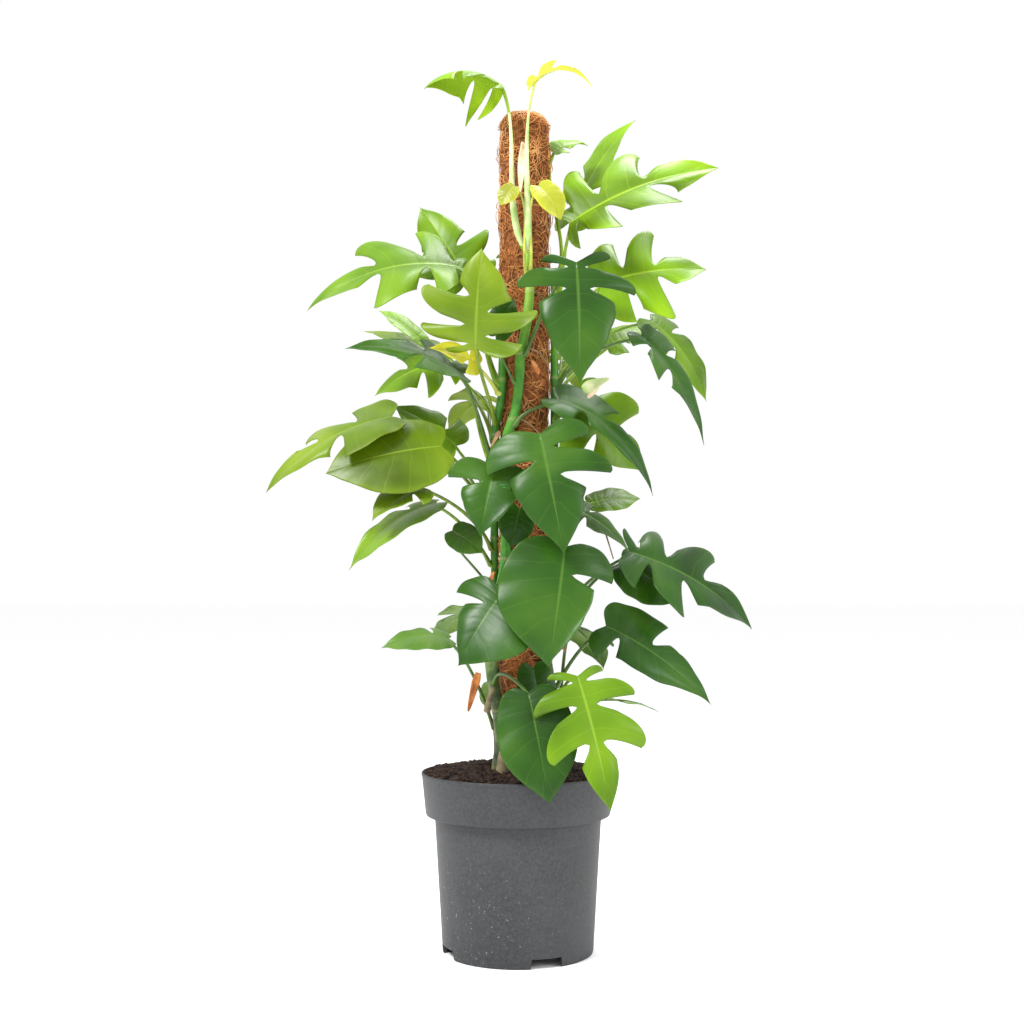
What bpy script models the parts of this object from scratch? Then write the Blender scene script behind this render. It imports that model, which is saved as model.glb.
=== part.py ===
"""Mini monstera on a coir pole in a nursery pot. Metres, +Z up, the pot stands on Z = 0 with its axis on Z."""

import math
from collections import namedtuple

import bmesh
import bpy
import numpy as np
from mathutils import Matrix, Vector
from mathutils.bvhtree import BVHTree

# Sizes are written in millimetres and turned into metres here
MM = 0.001
GAP = 0.4 * MM
ROUND_STEPS = 28

# Pot
RIM_RADIUS = 120.0 * MM
RIM_TOP = 222.7 * MM
COLLAR_BOTTOM = 170.0 * MM
COLLAR_FOOT_RADIUS = 114.7 * MM
BODY_TOP_RADIUS = 103.4 * MM
BASE_RADIUS = 93.4 * MM
WALL = 1.8 * MM
FOOT_WIDTH = 5.0 * MM
FLOOR_UNDERSIDE = 13.0 * MM
FLOOR_THICKNESS = 2.0 * MM
NOTCH_WIDTH = 42.0 * MM
NOTCH_HEIGHT = 12.0 * MM
NOTCH_ANGLES = (21.5, 111.5, 201.5, 291.5)
DRAIN_HOLE_RADIUS = 5.0 * MM
DRAIN_HOLE_CIRCLE = 58.0 * MM

# Soil
SOIL_EDGE_TOP = 219.5 * MM
SOIL_CENTRE_TOP = 228.0 * MM

# Pole
POLE_X = 8.0 * MM
POLE_Y = 5.0 * MM
COIR_RADIUS = 31.0 * MM
COIR_WAIST = 1.2 * MM
COIR_PITCH = 88.0 * MM
COIR_TOP = 1038.0 * MM
COIR_BOTTOM = 60.0 * MM
COIR_STEPS = 16
CORE_RADIUS = 12.0 * MM
CORE_TOP = 1006.0 * MM
CORE_BOTTOM = 30.0 * MM

# Vines climb round the pole: height in mm, degrees round the pole from the front, stem radius in mm, room in mm
# between the stem and the coir. Positive degrees turn to the right as seen from the front.
VINES = {
    "front": (
        (70, -62, 7.0, 6.0), (218, -56, 7.6, 3.0), (262, -44, 7.8, 2.4), (300, -48, 8.0, 3.5),
        (335, -60, 7.8, 6.5), (372, -66, 7.4, 8.5), (425, -54, 6.8, 4.0), (484, -36, 6.5, 1.6),
        (560, -36, 6.4, 1.6), (636, -36, 6.4, 1.6), (660, -17, 6.4, 2.0), (700, -10, 6.2, 1.4),
        (740, -8, 6.2, 1.4), (765, 2, 6.2, 1.4), (812, 10, 5.8, 1.6), (872, 4, 4.2, 2.5)),
    "left": (
        (70, -118, 5.0, 6.0), (234, -122, 5.2, 3.0), (330, -112, 5.2, 1.4), (440, -104, 5.2, 1.4),
        (540, -94, 5.2, 1.4), (612, -84, 5.2, 1.6), (650, -68, 5.4, 2.0), (682, -47, 5.4, 2.0),
        (716, -46, 5.0, 1.6), (740, -52, 3.6, 2.0)),
    "right": (
        (70, 98, 6.0, 6.0), (234, 86, 6.2, 3.0), (280, 74, 6.2, 1.6), (326, 58, 6.4, 1.8),
        (372, 40, 6.2, 2.0), (425, 46, 5.6, 1.6), (500, 66, 5.4, 1.6), (600, 82, 5.2, 1.4),
        (700, 88, 5.2, 1.4), (790, 86, 4.6, 1.4), (842, 90, 3.0, 1.8)),
}
STEM_SIDES_RESOLUTION = 1

# Plant ties that hold the vines to the pole, with their height in mm
TIES = (("tie_upper", 578), ("tie_lower", 440))
TIE_BAND = 1.4 * MM
TIE_HEIGHT = 5.0 * MM
TIE_STEPS = 24

# Leaves. vine and foot say where the leaf stalk leaves its vine (height in mm), base is the joint of stalk and
# blade, tip the blade's far end, face the way its upper side looks, width the blade's width in mm, bend how far
# the midrib turns from base to tip and fold how far each half rises from it, in degrees. plus and minus are the
# ribs at which that side of the blade is slit.
Leaf = namedtuple("Leaf", "name vine foot base tip face width bend fold plus minus")
LEAVES = (
    # top left leaf, arching
    Leaf("leaf_01", "front", 866, (-17, -35, 1060), (-114, -45, 1055),
         (0, 0.3, 0.95), 116, 108, -34, (3, 5), (2, 4, 6)),
    # rolled new leaf at the top
    Leaf("leaf_02", "front", 862, (18, -30, 1065), (91, -25, 1063),
         (0, 0.1, 1), 34, 120, 44, (3, 5), (4,)),
    # small emerging leaf, right of the sheath
    Leaf("leaf_03", "front", 840, (24, -64, 932), (51, -68, 890),
         (0.2, -0.9, 0.3), 38, 60, 20, (), ()),
    # large bright leaf, upper right
    Leaf("leaf_04", "right", 800, (64, -20, 899), (250, 2, 973),
         (-0.15, -0.74, 0.66), 178, 34, 20, (2, 4, 6), (2, 4, 6)),
    # behind the large upper right leaf
    Leaf("leaf_05", "right", 805, (67, 56, 919), (154, 88, 1061),
         (-0.6, -0.65, 0.5), 120, 30, 8, (4,), (3, 5)),
    # bright leaf under it
    Leaf("leaf_06", "right", 765, (101, -14, 825), (234, 0, 846),
         (0, -0.85, 0.5), 160, 36, 6, (4, 6), (4, 6)),
    # dark front leaf, upper right
    Leaf("leaf_07", "front", 735, (69, -76, 838), (72, -100, 687),
         (0.1, -0.9, 0.4), 168, 28, 8, (2, 4), (2, 4)),
    # dark drooping leaf
    Leaf("leaf_08", "right", 705, (151, -22, 760), (227, -32, 624),
         (0.7, -0.65, 0.4), 92, 40, 22, (3, 5), (4,)),
    # pale leaf behind it
    Leaf("leaf_09", "right", 712, (167, 26, 788), (239, 36, 686),
         (0.5, -0.65, 0.5), 108, 45, 10, (3, 5), (4,)),
    # light leaf, right of the middle
    Leaf("leaf_10", "right", 610, (66, -18, 677), (155, 6, 595),
         (0.1, -0.85, 0.5), 160, 30, 6, (2, 5), (3, 6)),
    # long arching leaf, upper left
    Leaf("leaf_11", "left", 700, (-69, -20, 844), (-257, -36, 788),
         (-0.1, -0.7, 0.72), 162, 62, 14, (2, 4, 6), (2, 4, 6)),
    # behind the arching leaf
    Leaf("leaf_12", "left", 705, (-63, 30, 840), (-126, 62, 940),
         (-0.3, -0.7, 0.6), 124, 30, 8, (3, 5), (3, 5)),
    # middle green leaf facing the front
    Leaf("leaf_13", "left", 655, (-51, -80, 735), (-43, -94, 851),
         (-0.15, -0.95, 0.3), 160, 26, 10, (3, 5), (2, 4, 6)),
    # dark leaf, left
    Leaf("leaf_14", "left", 615, (-68, -38, 711), (-209, -52, 739),
         (-0.1, -0.5, 0.86), 96, 50, 12, (3, 5), (5,)),
    # bright leaf under it
    Leaf("leaf_15", "left", 610, (-82, 6, 735), (-179, 14, 691),
         (-0.2, -0.75, 0.6), 120, 44, 8, (4, 6), (3, 5)),
    # small yellow new leaf
    Leaf("leaf_16", "left", 690, (-49, -38, 722), (-109, -52, 740),
         (-0.2, -0.7, 0.6), 56, 50, 16, (4,), (4,)),
    # long leaf, far left
    Leaf("leaf_17", "left", 540, (-154, -36, 659), (-306, -42, 566),
         (-0.5, -0.5, 0.7), 120, 45, 10, (4, 6), (5,)),
    # broad leaf, left
    Leaf("leaf_18", "left", 535, (-92, -56, 621), (-229, -78, 586),
         (-0.1, -0.85, 0.5), 112, 30, 6, (), ()),
    # bright lower left leaf
    Leaf("leaf_19", "left", 480, (-101, -18, 555), (-206, -34, 472),
         (-0.55, -0.45, 0.7), 90, 50, 12, (4,), ()),
    # small pale drooping leaf
    Leaf("leaf_20", "left", 500, (-113, -66, 570), (-173, -86, 530),
         (-0.4, -0.7, 0.6), 62, 40, 10, (), (4,)),
    # three lobed front leaf
    Leaf("leaf_21", "front", 590, (-29, -82, 593), (-45, -100, 509),
         (0, -0.85, 0.5), 122, 28, 8, (4,), (4,)),
    # large front leaf, middle
    Leaf("leaf_22", "front", 600, (25, -94, 632), (53, -126, 487),
         (0, -0.92, 0.35), 164, 26, 6, (4,), (3, 5)),
    # grey green leaf, right of the middle
    Leaf("leaf_23", "right", 520, (66, -22, 549), (137, -26, 493),
         (0.3, -0.6, 0.7), 80, 40, 8, (4,), (4,)),
    # large front leaf, below the middle
    Leaf("leaf_24", "front", 470, (55, -94, 499), (35, -118, 358),
         (0.1, -0.92, 0.35), 146, 26, 6, (), (4,)),
    # lobed leaf, far right
    Leaf("leaf_25", "right", 400, (139, 0, 495), (301, 62, 397),
         (0.3, -0.7, 0.65), 156, 40, 10, (3, 5), (2, 4, 6)),
    # lower right leaf
    Leaf("leaf_26", "right", 330, (107, -34, 404), (237, -26, 306),
         (0.2, -0.72, 0.65), 118, 36, 8, (3,), (5,)),
    # bright lobed leaf over the rim
    Leaf("leaf_27", "right", 290, (69, -112, 348), (105, -152, 197),
         (0.1, -0.88, 0.45), 140, 28, 8, (2, 4, 6), (2, 4, 6)),
    # ovate leaf over the rim
    Leaf("leaf_28", "front", 335, (12, -108, 328), (36, -138, 203),
         (0, -0.95, 0.3), 92, 22, 6, (), ()),
    # leaf, lower left
    Leaf("leaf_29", "front", 410, (-18, -78, 446), (-71, -100, 359),
         (-0.2, -0.85, 0.5), 132, 28, 8, (4,), ()),
    # grey green leaf, lower left
    Leaf("leaf_30", "left", 275, (-84, -44, 389), (-165, -58, 378),
         (-0.2, -0.5, 0.85), 66, 50, 12, (4,), ()),
    # small light leaf behind the pole
    Leaf("leaf_31", "right", 838, (44, 18, 998), (89, 36, 1011),
         (0, -0.5, 0.85), 56, 50, 12, (4,), ()),
    # second small emerging leaf, left of the sheath
    Leaf("leaf_32", "front", 832, (-5, -60, 933), (-22, -62, 909),
         (-0.2, -0.9, 0.3), 26, 40, 10, (), ()),
    # dark arching leaf, right
    Leaf("leaf_33", "front", 650, (46, -40, 680), (163, -46, 562),
         (0.45, -0.6, 0.65), 88, 66, 16, (4,), (5,)),
    # narrow pale leaf, left
    Leaf("leaf_35", "left", 660, (-121, 60, 765), (-180, 74, 809),
         (0.4, -0.6, 0.6), 34, 30, 16, (), ()),
    # narrow leaf behind it
    Leaf("leaf_36", "left", 640, (-101, 84, 757), (-202, 100, 787),
         (0, -0.5, 0.86), 56, 30, 12, (4,), ()),
    # small pale leaf, right
    Leaf("leaf_37", "right", 470, (91, 24, 557), (155, 34, 563),
         (0.1, -0.6, 0.8), 50, 30, 10, (), ()),
    # dark leaf behind the front leaf
    Leaf("leaf_38", "front", 505, (2, -46, 547), (-9, -50, 500),
         (0, -1, 0.1), 44, 20, 10, (), ()),
    # edge on leaf, low right
    Leaf("leaf_39", "right", 260, (98, -20, 313), (174, -10, 297),
         (0, 0.1, 1), 48, 30, 12, (4,), ()),
    # dark leaf behind the ovate leaf
    Leaf("leaf_40", "right", 300, (18, -50, 354), (33, -70, 247),
         (0.2, -0.95, 0.2), 52, 22, 10, (), ()),
    # dark leaf under the far right leaf
    Leaf("leaf_47", "right", 372, (131, 24, 483), (202, 30, 431),
         (0.2, -0.75, 0.6), 84, 36, 8, (), (4,)),
    # pale leaf behind the broad one
    Leaf("leaf_48", "left", 566, (-78, 22, 629), (-160, 40, 682),
         (-0.2, -0.7, 0.7), 96, 40, 8, (4,), (4,)),
    # pale leaf behind, right
    Leaf("leaf_49", "right", 690, (116, 66, 762), (180, 86, 786),
         (0, -0.6, 0.8), 64, 34, 8, (4,), ()),
    # dark leaf in front of the pole, left
    Leaf("leaf_50", "front", 700, (-27, -50, 755), (-5, -58, 799),
         (-0.1, -0.9, 0.4), 40, 30, 10, (), ()),
    # small grey green leaf, left of the pole
    Leaf("leaf_51", "left", 448, (-81, -16, 521), (-44, -24, 493),
         (0, -0.8, 0.5), 44, 40, 12, (), ()),
    # leaves at the back, which the photograph hides
    Leaf("leaf_41", "left", 632, (-45, 88, 700), (-92, 150, 650),
         (-0.3, 0.5, 0.8), 100, 45, 12, (3, 5), (4,)),
    Leaf("leaf_42", "right", 640, (60, 85, 760), (80, 158, 715),
         (0.2, 0.5, 0.8), 92, 45, 10, (4,), (3, 5)),
    Leaf("leaf_43", "left", 480, (10, 90, 570), (15, 160, 500),
         (0, 0.6, 0.8), 104, 40, 10, (3, 5), (3, 5)),
    Leaf("leaf_44", "left", 330, (-60, 78, 420), (-112, 145, 370),
         (-0.4, 0.5, 0.8), 92, 45, 12, (4,), (4,)),
    Leaf("leaf_45", "right", 300, (70, 72, 400), (116, 145, 340),
         (0.4, 0.5, 0.8), 96, 40, 12, (3, 5), (4,)),
    Leaf("leaf_46", "left", 270, (-5, 90, 330), (-15, 152, 268),
         (0, 0.6, 0.8), 84, 35, 10, (), ()),
    Leaf("leaf_34", "right", 760, (8, 84, 880), (-20, 142, 850),
         (0, 0.5, 0.8), 78, 45, 12, (4,), (4,)),
)

# Blade grid: where the ribs leave the midrib, how far out the levels lie, and the same for blades with no slit
RIBS = (0.0, 0.09, 0.2, 0.32, 0.44, 0.56, 0.68, 0.82, 1.0)
LEVELS = (-1.0, -0.6, -0.17, 0.0, 0.17, 0.6, 1.0)
SMALL_RIBS = (0.0, 0.1, 0.3, 0.55, 0.8, 1.0)
SMALL_LEVELS = (-1.0, -0.5, 0.0, 0.5, 1.0)
NARROW_LEVELS = (-1.0, -0.17, 0.0, 0.17, 1.0)
BLADE_THICKNESS = 0.8 * MM
SLIT_HALF_WIDTH = 0.05
LOBE_BACK = 0.4
LOBE_FRONT = 0.04
TIP_LOBE_PULL = 0.9
MOST_PULL = 0.45
LOBE_CUP = 0.1
LOBE_SWAY = 0.1
BASE_LOBE = 0.09
TAPER_START = 0.54
CURL = 0.22
STALK_FOOT_RADIUS = 2.6 * MM
STALK_TOP_RADIUS = 1.7 * MM
STALK_POINTS = 4
YOUNG_WIDTH = 50.0
NARROW_WIDTH = 70.0
SEAT_GAP = 0.35 * MM
SEAT_TRIES = 4


def collection(name):
    """Make a collection in the scene."""
    made = bpy.data.collections.new(name)
    bpy.context.scene.collection.children.link(made)
    return made


def add_mesh(name, bm, where):
    """Turn a bmesh into an object in a collection."""
    bmesh.ops.recalc_face_normals(bm, faces=bm.faces[:])
    mesh = bpy.data.meshes.new(name)
    bm.to_mesh(mesh)
    bm.free()
    obj = bpy.data.objects.new(name, mesh)
    where.objects.link(obj)
    return obj


def bake(obj):
    """Replace an object's mesh with the result of its modifiers, or a curve with its mesh."""
    graph = bpy.context.evaluated_depsgraph_get()
    graph.update()
    mesh = bpy.data.meshes.new_from_object(obj.evaluated_get(graph), depsgraph=graph)
    name = obj.name
    where = obj.users_collection[0]
    bpy.data.objects.remove(obj)
    mesh.name = name
    made = bpy.data.objects.new(name, mesh)
    where.objects.link(made)
    return made


def boolean(obj, other, operation):
    """Add a boolean modifier with another object."""
    modifier = obj.modifiers.new(operation.lower(), "BOOLEAN")
    modifier.operation = operation
    modifier.solver = "EXACT"
    modifier.object = other
    return modifier


def hide(obj):
    """Keep an object out of the render and show it as wire."""
    obj.hide_render = True
    obj.display_type = "WIRE"


def turned(name, profile, steps, where, centre=(0.0, 0.0)):
    """Turn a closed profile of (radius, height) points about an upright axis with a Screw modifier."""
    bm = bmesh.new()
    points = [bm.verts.new((radius, 0.0, height)) for radius, height in profile]
    closed = profile[0][0] > 0.0 or profile[-1][0] > 0.0
    pairs = list(zip(points, points[1:]))
    if closed:
        pairs.append((points[-1], points[0]))
    for first, second in pairs:
        bm.edges.new((first, second))
    mesh = bpy.data.meshes.new(name)
    bm.to_mesh(mesh)
    bm.free()
    obj = bpy.data.objects.new(name, mesh)
    where.objects.link(obj)
    screw = obj.modifiers.new("turn", "SCREW")
    screw.axis = "Z"
    screw.angle = math.tau
    screw.steps = steps
    screw.render_steps = steps
    screw.use_merge_vertices = True
    screw.merge_threshold = 0.00001
    screw.use_normal_calculate = True
    made = bake(obj)
    made.data.transform(Matrix.Translation((centre[0], centre[1], 0.0)))
    tidy_normals(made)
    return made


def tidy_normals(obj):
    """Weld the mesh and turn its faces outwards."""
    bm = bmesh.new()
    bm.from_mesh(obj.data)
    bmesh.ops.remove_doubles(bm, verts=bm.verts[:], dist=0.000002)
    bmesh.ops.recalc_face_normals(bm, faces=bm.faces[:])
    bm.to_mesh(obj.data)
    bm.free()


def tube(name, points, radii, where, resolution=STEM_SIDES_RESOLUTION):
    """A round rod along points, with its own radius at each, closed at both ends."""
    curve = bpy.data.curves.new(name, "CURVE")
    curve.dimensions = "3D"
    curve.bevel_depth = 1.0
    curve.bevel_resolution = resolution
    curve.use_fill_caps = True
    spline = curve.splines.new("POLY")
    spline.points.add(len(points) - 1)
    for point, place, radius in zip(spline.points, points, radii):
        point.co = (place[0], place[1], place[2], 1.0)
        point.radius = radius
    obj = bpy.data.objects.new(name, curve)
    where.objects.link(obj)
    made = bake(obj)
    tidy_normals(made)
    return made


def box(name, low, high, where):
    """A plain block between two corners."""
    bm = bmesh.new()
    bmesh.ops.create_cube(bm, size=1.0)
    for vert in bm.verts:
        for axis in range(3):
            middle = 0.5 * (low[axis] + high[axis])
            vert.co[axis] = middle + vert.co[axis] * (high[axis] - low[axis])
    return add_mesh(name, bm, where)


def rod(name, radius, low, high, steps, where, centre):
    """An upright round rod."""
    bm = bmesh.new()
    bmesh.ops.create_cone(
        bm, cap_ends=True, segments=steps, radius1=radius, radius2=radius, depth=high - low)
    bmesh.ops.translate(bm, verts=bm.verts[:], vec=(centre[0], centre[1], 0.5 * (low + high)))
    return add_mesh(name, bm, where)


def vine_point(vine, height):
    """The middle of a vine and its radius at a height in metres."""
    rows = VINES[vine]
    heights = [row[0] * MM for row in rows]
    angle = math.radians(np.interp(height, heights, [row[1] for row in rows]))
    radius = np.interp(height, heights, [row[2] for row in rows]) * MM
    room = np.interp(height, heights, [row[3] for row in rows]) * MM
    reach = COIR_RADIUS + room + radius
    middle = Vector((POLE_X + reach * math.sin(angle), POLE_Y - reach * math.cos(angle), height))
    return middle, float(radius)


def vine_path(vine, extra):
    """The points and radii of a vine, with its radius grown by extra."""
    rows = VINES[vine]
    heights = []
    for first, second in zip(rows, rows[1:]):
        parts = max(1, int(round((second[0] - first[0]) / 45.0)))
        for part in range(parts):
            heights.append((first[0] + (second[0] - first[0]) * part / parts) * MM)
    heights.append(rows[-1][0] * MM)
    found = [vine_point(vine, height) for height in heights]
    return [place for place, radius in found], [radius + extra for place, radius in found]


class Blade:
    """The form of one leaf blade: a flat outline with slits, bent along its midrib and folded along it."""

    def __init__(self, leaf):
        self.base = Vector(leaf.base) * MM
        self.tip = Vector(leaf.tip) * MM
        chord = self.tip - self.base
        self.along = chord.normalized()
        face = Vector(leaf.face)
        self.up = (face - face.dot(self.along) * self.along).normalized()
        self.side = self.along.cross(self.up)
        self.bend = math.radians(max(2.0, leaf.bend))
        self.length = chord.length * (0.5 * self.bend) / math.sin(0.5 * self.bend)
        self.fold = math.radians(leaf.fold)
        self.half_width = 0.5 * leaf.width * MM
        self.slits = {1: sorted(leaf.plus), -1: sorted(leaf.minus)}
        self.phase = int(leaf.name[-2:]) * 1.7

    def outline(self, u):
        """The flat place of the blade's edge at rib u, on the plus side."""
        turn = math.pi * u
        taper = (1.0 - max(0.0, (u - TAPER_START) / (1.0 - TAPER_START)) ** 2) ** 2
        across = self.half_width * max(0.0, math.sin(turn)) ** 0.75 * taper
        ahead = (0.5 * (1.0 - math.cos(turn))) ** 1.25
        lobe = BASE_LOBE * (u / 0.14) * math.exp(1.0 - u / 0.14)
        return across, self.length * (ahead - lobe * (1.0 - u))

    def flat(self, u, level, reach):
        """The flat place at rib u and level, with the edge pulled in by reach."""
        across, ahead = self.outline(u)
        root = self.length * u ** 1.8
        out = abs(level) * reach
        return math.copysign(across * out, level), root + (ahead - root) * out ** 1.3

    def lifted(self, flat, sink=0.0):
        """The place in space of a flat point, sunk a little below the blade."""
        across, ahead = flat
        turn = 0.5 * self.bend - self.bend * ahead / self.length
        radius = self.length / self.bend
        start = 0.5 * self.bend
        forward = radius * (math.sin(start) - math.sin(turn))
        rise = radius * (math.cos(turn) - math.cos(start))
        normal = math.cos(turn) * self.up - math.sin(turn) * self.along
        droop = abs(across) * math.sin(self.fold) - CURL * across * across / self.half_width
        place = self.base + forward * self.along + rise * self.up
        sink *= min(1.0, abs(across) / (0.35 * self.half_width))
        return place + across * math.cos(self.fold) * self.side + (droop - sink) * normal

    def shift(self, ribs, rib, level, levels_root, upper):
        """How far a grid point moves along u to open the slits, how far its edge is pulled in, and how far it sinks."""
        if abs(level) <= levels_root + 1e-6:
            return 0.0, 1.0, 0.0
        side = 1 if level > 0.0 else -1
        slits = self.slits[side]
        if not slits:
            return 0.0, 1.0, 0.0
        tau = (abs(level) - levels_root) / (1.0 - levels_root)
        opening = SLIT_HALF_WIDTH * math.sqrt(tau) * (1.25 - 0.3 * tau)
        last = len(ribs) - 1
        lower_ends = [0] + slits
        start = max(end for end in lower_ends if end < rib or (end == rib and upper))
        finish = min([end for end in slits + [last] if end > start])
        share = (ribs[rib] - ribs[start]) / (ribs[finish] - ribs[start])
        moved = 0.0
        reach = 1.0
        sink = LOBE_SWAY * tau * tau * math.sin(self.phase + 2.1 * start + side)
        if start > 0:
            moved += opening * (1.0 - share)
            reach -= LOBE_BACK * tau * (1.0 - share) ** 1.5
            sink += LOBE_CUP * tau * (1.0 - share) ** 4
        if finish < last:
            moved -= opening * share
            reach -= LOBE_FRONT * tau * share ** 2
            sink += LOBE_CUP * tau * share ** 4
        elif start > 0:
            reach -= TIP_LOBE_PULL * tau * (ribs[-3] - ribs[start])
        return moved, max(reach, 1.0 - MOST_PULL * tau), sink * self.half_width


def blade_mesh(leaf, blade, where):
    """The thin body of a blade, made on a grid whose edges are split at the slits."""
    small = not leaf.plus and not leaf.minus
    ribs = SMALL_RIBS if small else RIBS
    levels = LEVELS
    if small:
        levels = SMALL_LEVELS
    elif leaf.width < NARROW_WIDTH:
        levels = NARROW_LEVELS
    rows = len(ribs) - 1
    columns = len(levels) - 1
    bm = bmesh.new()
    bmesh.ops.create_grid(bm, x_segments=columns, y_segments=rows, size=1.0)

    def rib_of(vert):
        return int(round(0.5 * (vert.co.y + 1.0) * rows))

    def level_of(vert):
        return levels[int(round(0.5 * (vert.co.x + 1.0) * columns))]

    root = min(level for level in levels if level > 0.0)
    cuts = []
    for edge in bm.edges:
        first, second = edge.verts
        if rib_of(first) != rib_of(second):
            continue
        middle = 0.5 * (level_of(first) + level_of(second))
        side = 1 if middle > 0.0 else -1
        if rib_of(first) in blade.slits[side] and abs(middle) > root:
            cuts.append(edge)
    if cuts:
        bmesh.ops.split_edges(bm, edges=cuts)
    places = {}
    for vert in bm.verts:
        rib = rib_of(vert)
        level = level_of(vert)
        middle = sum(face.calc_center_median().y for face in vert.link_faces) / len(vert.link_faces)
        moved, reach, sink = blade.shift(ribs, rib, level, root, middle > vert.co.y)
        places[vert] = blade.lifted(blade.flat(ribs[rib] + moved, level, reach), sink)
    for vert, place in places.items():
        vert.co = place
    bmesh.ops.remove_doubles(bm, verts=bm.verts[:], dist=0.0001)
    bmesh.ops.triangulate(bm, faces=bm.faces[:])
    mesh = bpy.data.meshes.new(leaf.name)
    bm.to_mesh(mesh)
    bm.free()
    obj = bpy.data.objects.new(leaf.name, mesh)
    where.objects.link(obj)
    solid = obj.modifiers.new("thickness", "SOLIDIFY")
    solid.thickness = BLADE_THICKNESS
    solid.offset = 0.0
    made = bake(obj)
    tidy_normals(made)
    return made


def bezier(points, share):
    """A point on a cubic Bezier curve."""
    first, second, third, fourth = points
    rest = 1.0 - share
    return (first * rest ** 3 + second * 3.0 * share * rest ** 2
            + third * 3.0 * share ** 2 * rest + fourth * share ** 3)


def stalk_path(leaf, blade, closer):
    """The points of a leaf stalk, from just off the vine, brought closer to it, to under the blade's base."""
    middle, radius = vine_point(leaf.vine, leaf.foot * MM)
    away = blade.base - middle
    flat_away = Vector((away.x, away.y, 0.0))
    if flat_away.length < 0.02:
        flat_away = Vector((middle.x - POLE_X, middle.y - POLE_Y, 0.0)).normalized() * 0.02
    outward = flat_away.normalized()
    from_pole = Vector((middle.x - POLE_X, middle.y - POLE_Y, 0.0)).normalized()
    inward = outward.dot(from_pole)
    if inward < 0.25:
        outward = (outward + (0.25 - inward) * from_pole).normalized()
    foot = middle + outward * (radius + STALK_FOOT_RADIUS + GAP - closer)
    top = blade.lifted((0.0, 0.035 * blade.length))
    turn = 0.43 * blade.bend
    normal = math.cos(turn) * blade.up - math.sin(turn) * blade.along
    end = top - normal * (STALK_TOP_RADIUS * 0.6)
    span = (end - foot).length
    rise = Vector((0.0, 0.0, 1.0))
    leave = (outward * 0.5 + rise).normalized()
    arrive = (math.cos(0.5 * blade.bend) * blade.along + math.sin(0.5 * blade.bend) * blade.up)
    arrive = (arrive * 0.6 + (end - foot).normalized() * 0.4 + rise * 0.15).normalized()
    handles = (foot, foot + leave * span * 0.3, end - arrive * span * 0.3, end)
    points = [bezier(handles, step / (STALK_POINTS - 1)) for step in range(STALK_POINTS)]
    points.append(top + normal * (STALK_TOP_RADIUS * 0.5) + arrive * STALK_TOP_RADIUS)
    return points


def foot_gap(stalk, foot, vine_tree):
    """How far the foot of a stalk lies from its vine."""
    ring = [vert.co for vert in stalk.data.vertices if (vert.co - foot).length < 1.4 * STALK_FOOT_RADIUS]
    places = [0.5 * (first + second) for first in ring for second in ring]
    return min(vine_tree.find_nearest(place)[3] for place in places)


def make_leaf(leaf, where, cutters, vine_tree):
    """One leaf: its blade with its stalk joined to it, the stalk seated on its vine."""
    blade = Blade(leaf)
    body = blade_mesh(leaf, blade, where)
    slim = 0.7 if leaf.width < YOUNG_WIDTH else 1.0
    last = STALK_POINTS
    radii = [
        (STALK_FOOT_RADIUS + (STALK_TOP_RADIUS - STALK_FOOT_RADIUS) * step / last) * slim
        for step in range(last + 1)]
    closer = 0.0
    for attempt in range(SEAT_TRIES):
        points = stalk_path(leaf, blade, closer)
        stalk = tube(leaf.name + "_stalk", points, radii, cutters, 0)
        error = foot_gap(stalk, points[0], vine_tree) - SEAT_GAP
        if abs(error) < 0.05 * MM or attempt == SEAT_TRIES - 1:
            break
        closer += error
        bpy.data.objects.remove(stalk)
    boolean(body, stalk, "UNION")
    made = bake(body)
    hide(stalk)
    tidy_normals(made)
    return made


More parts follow.
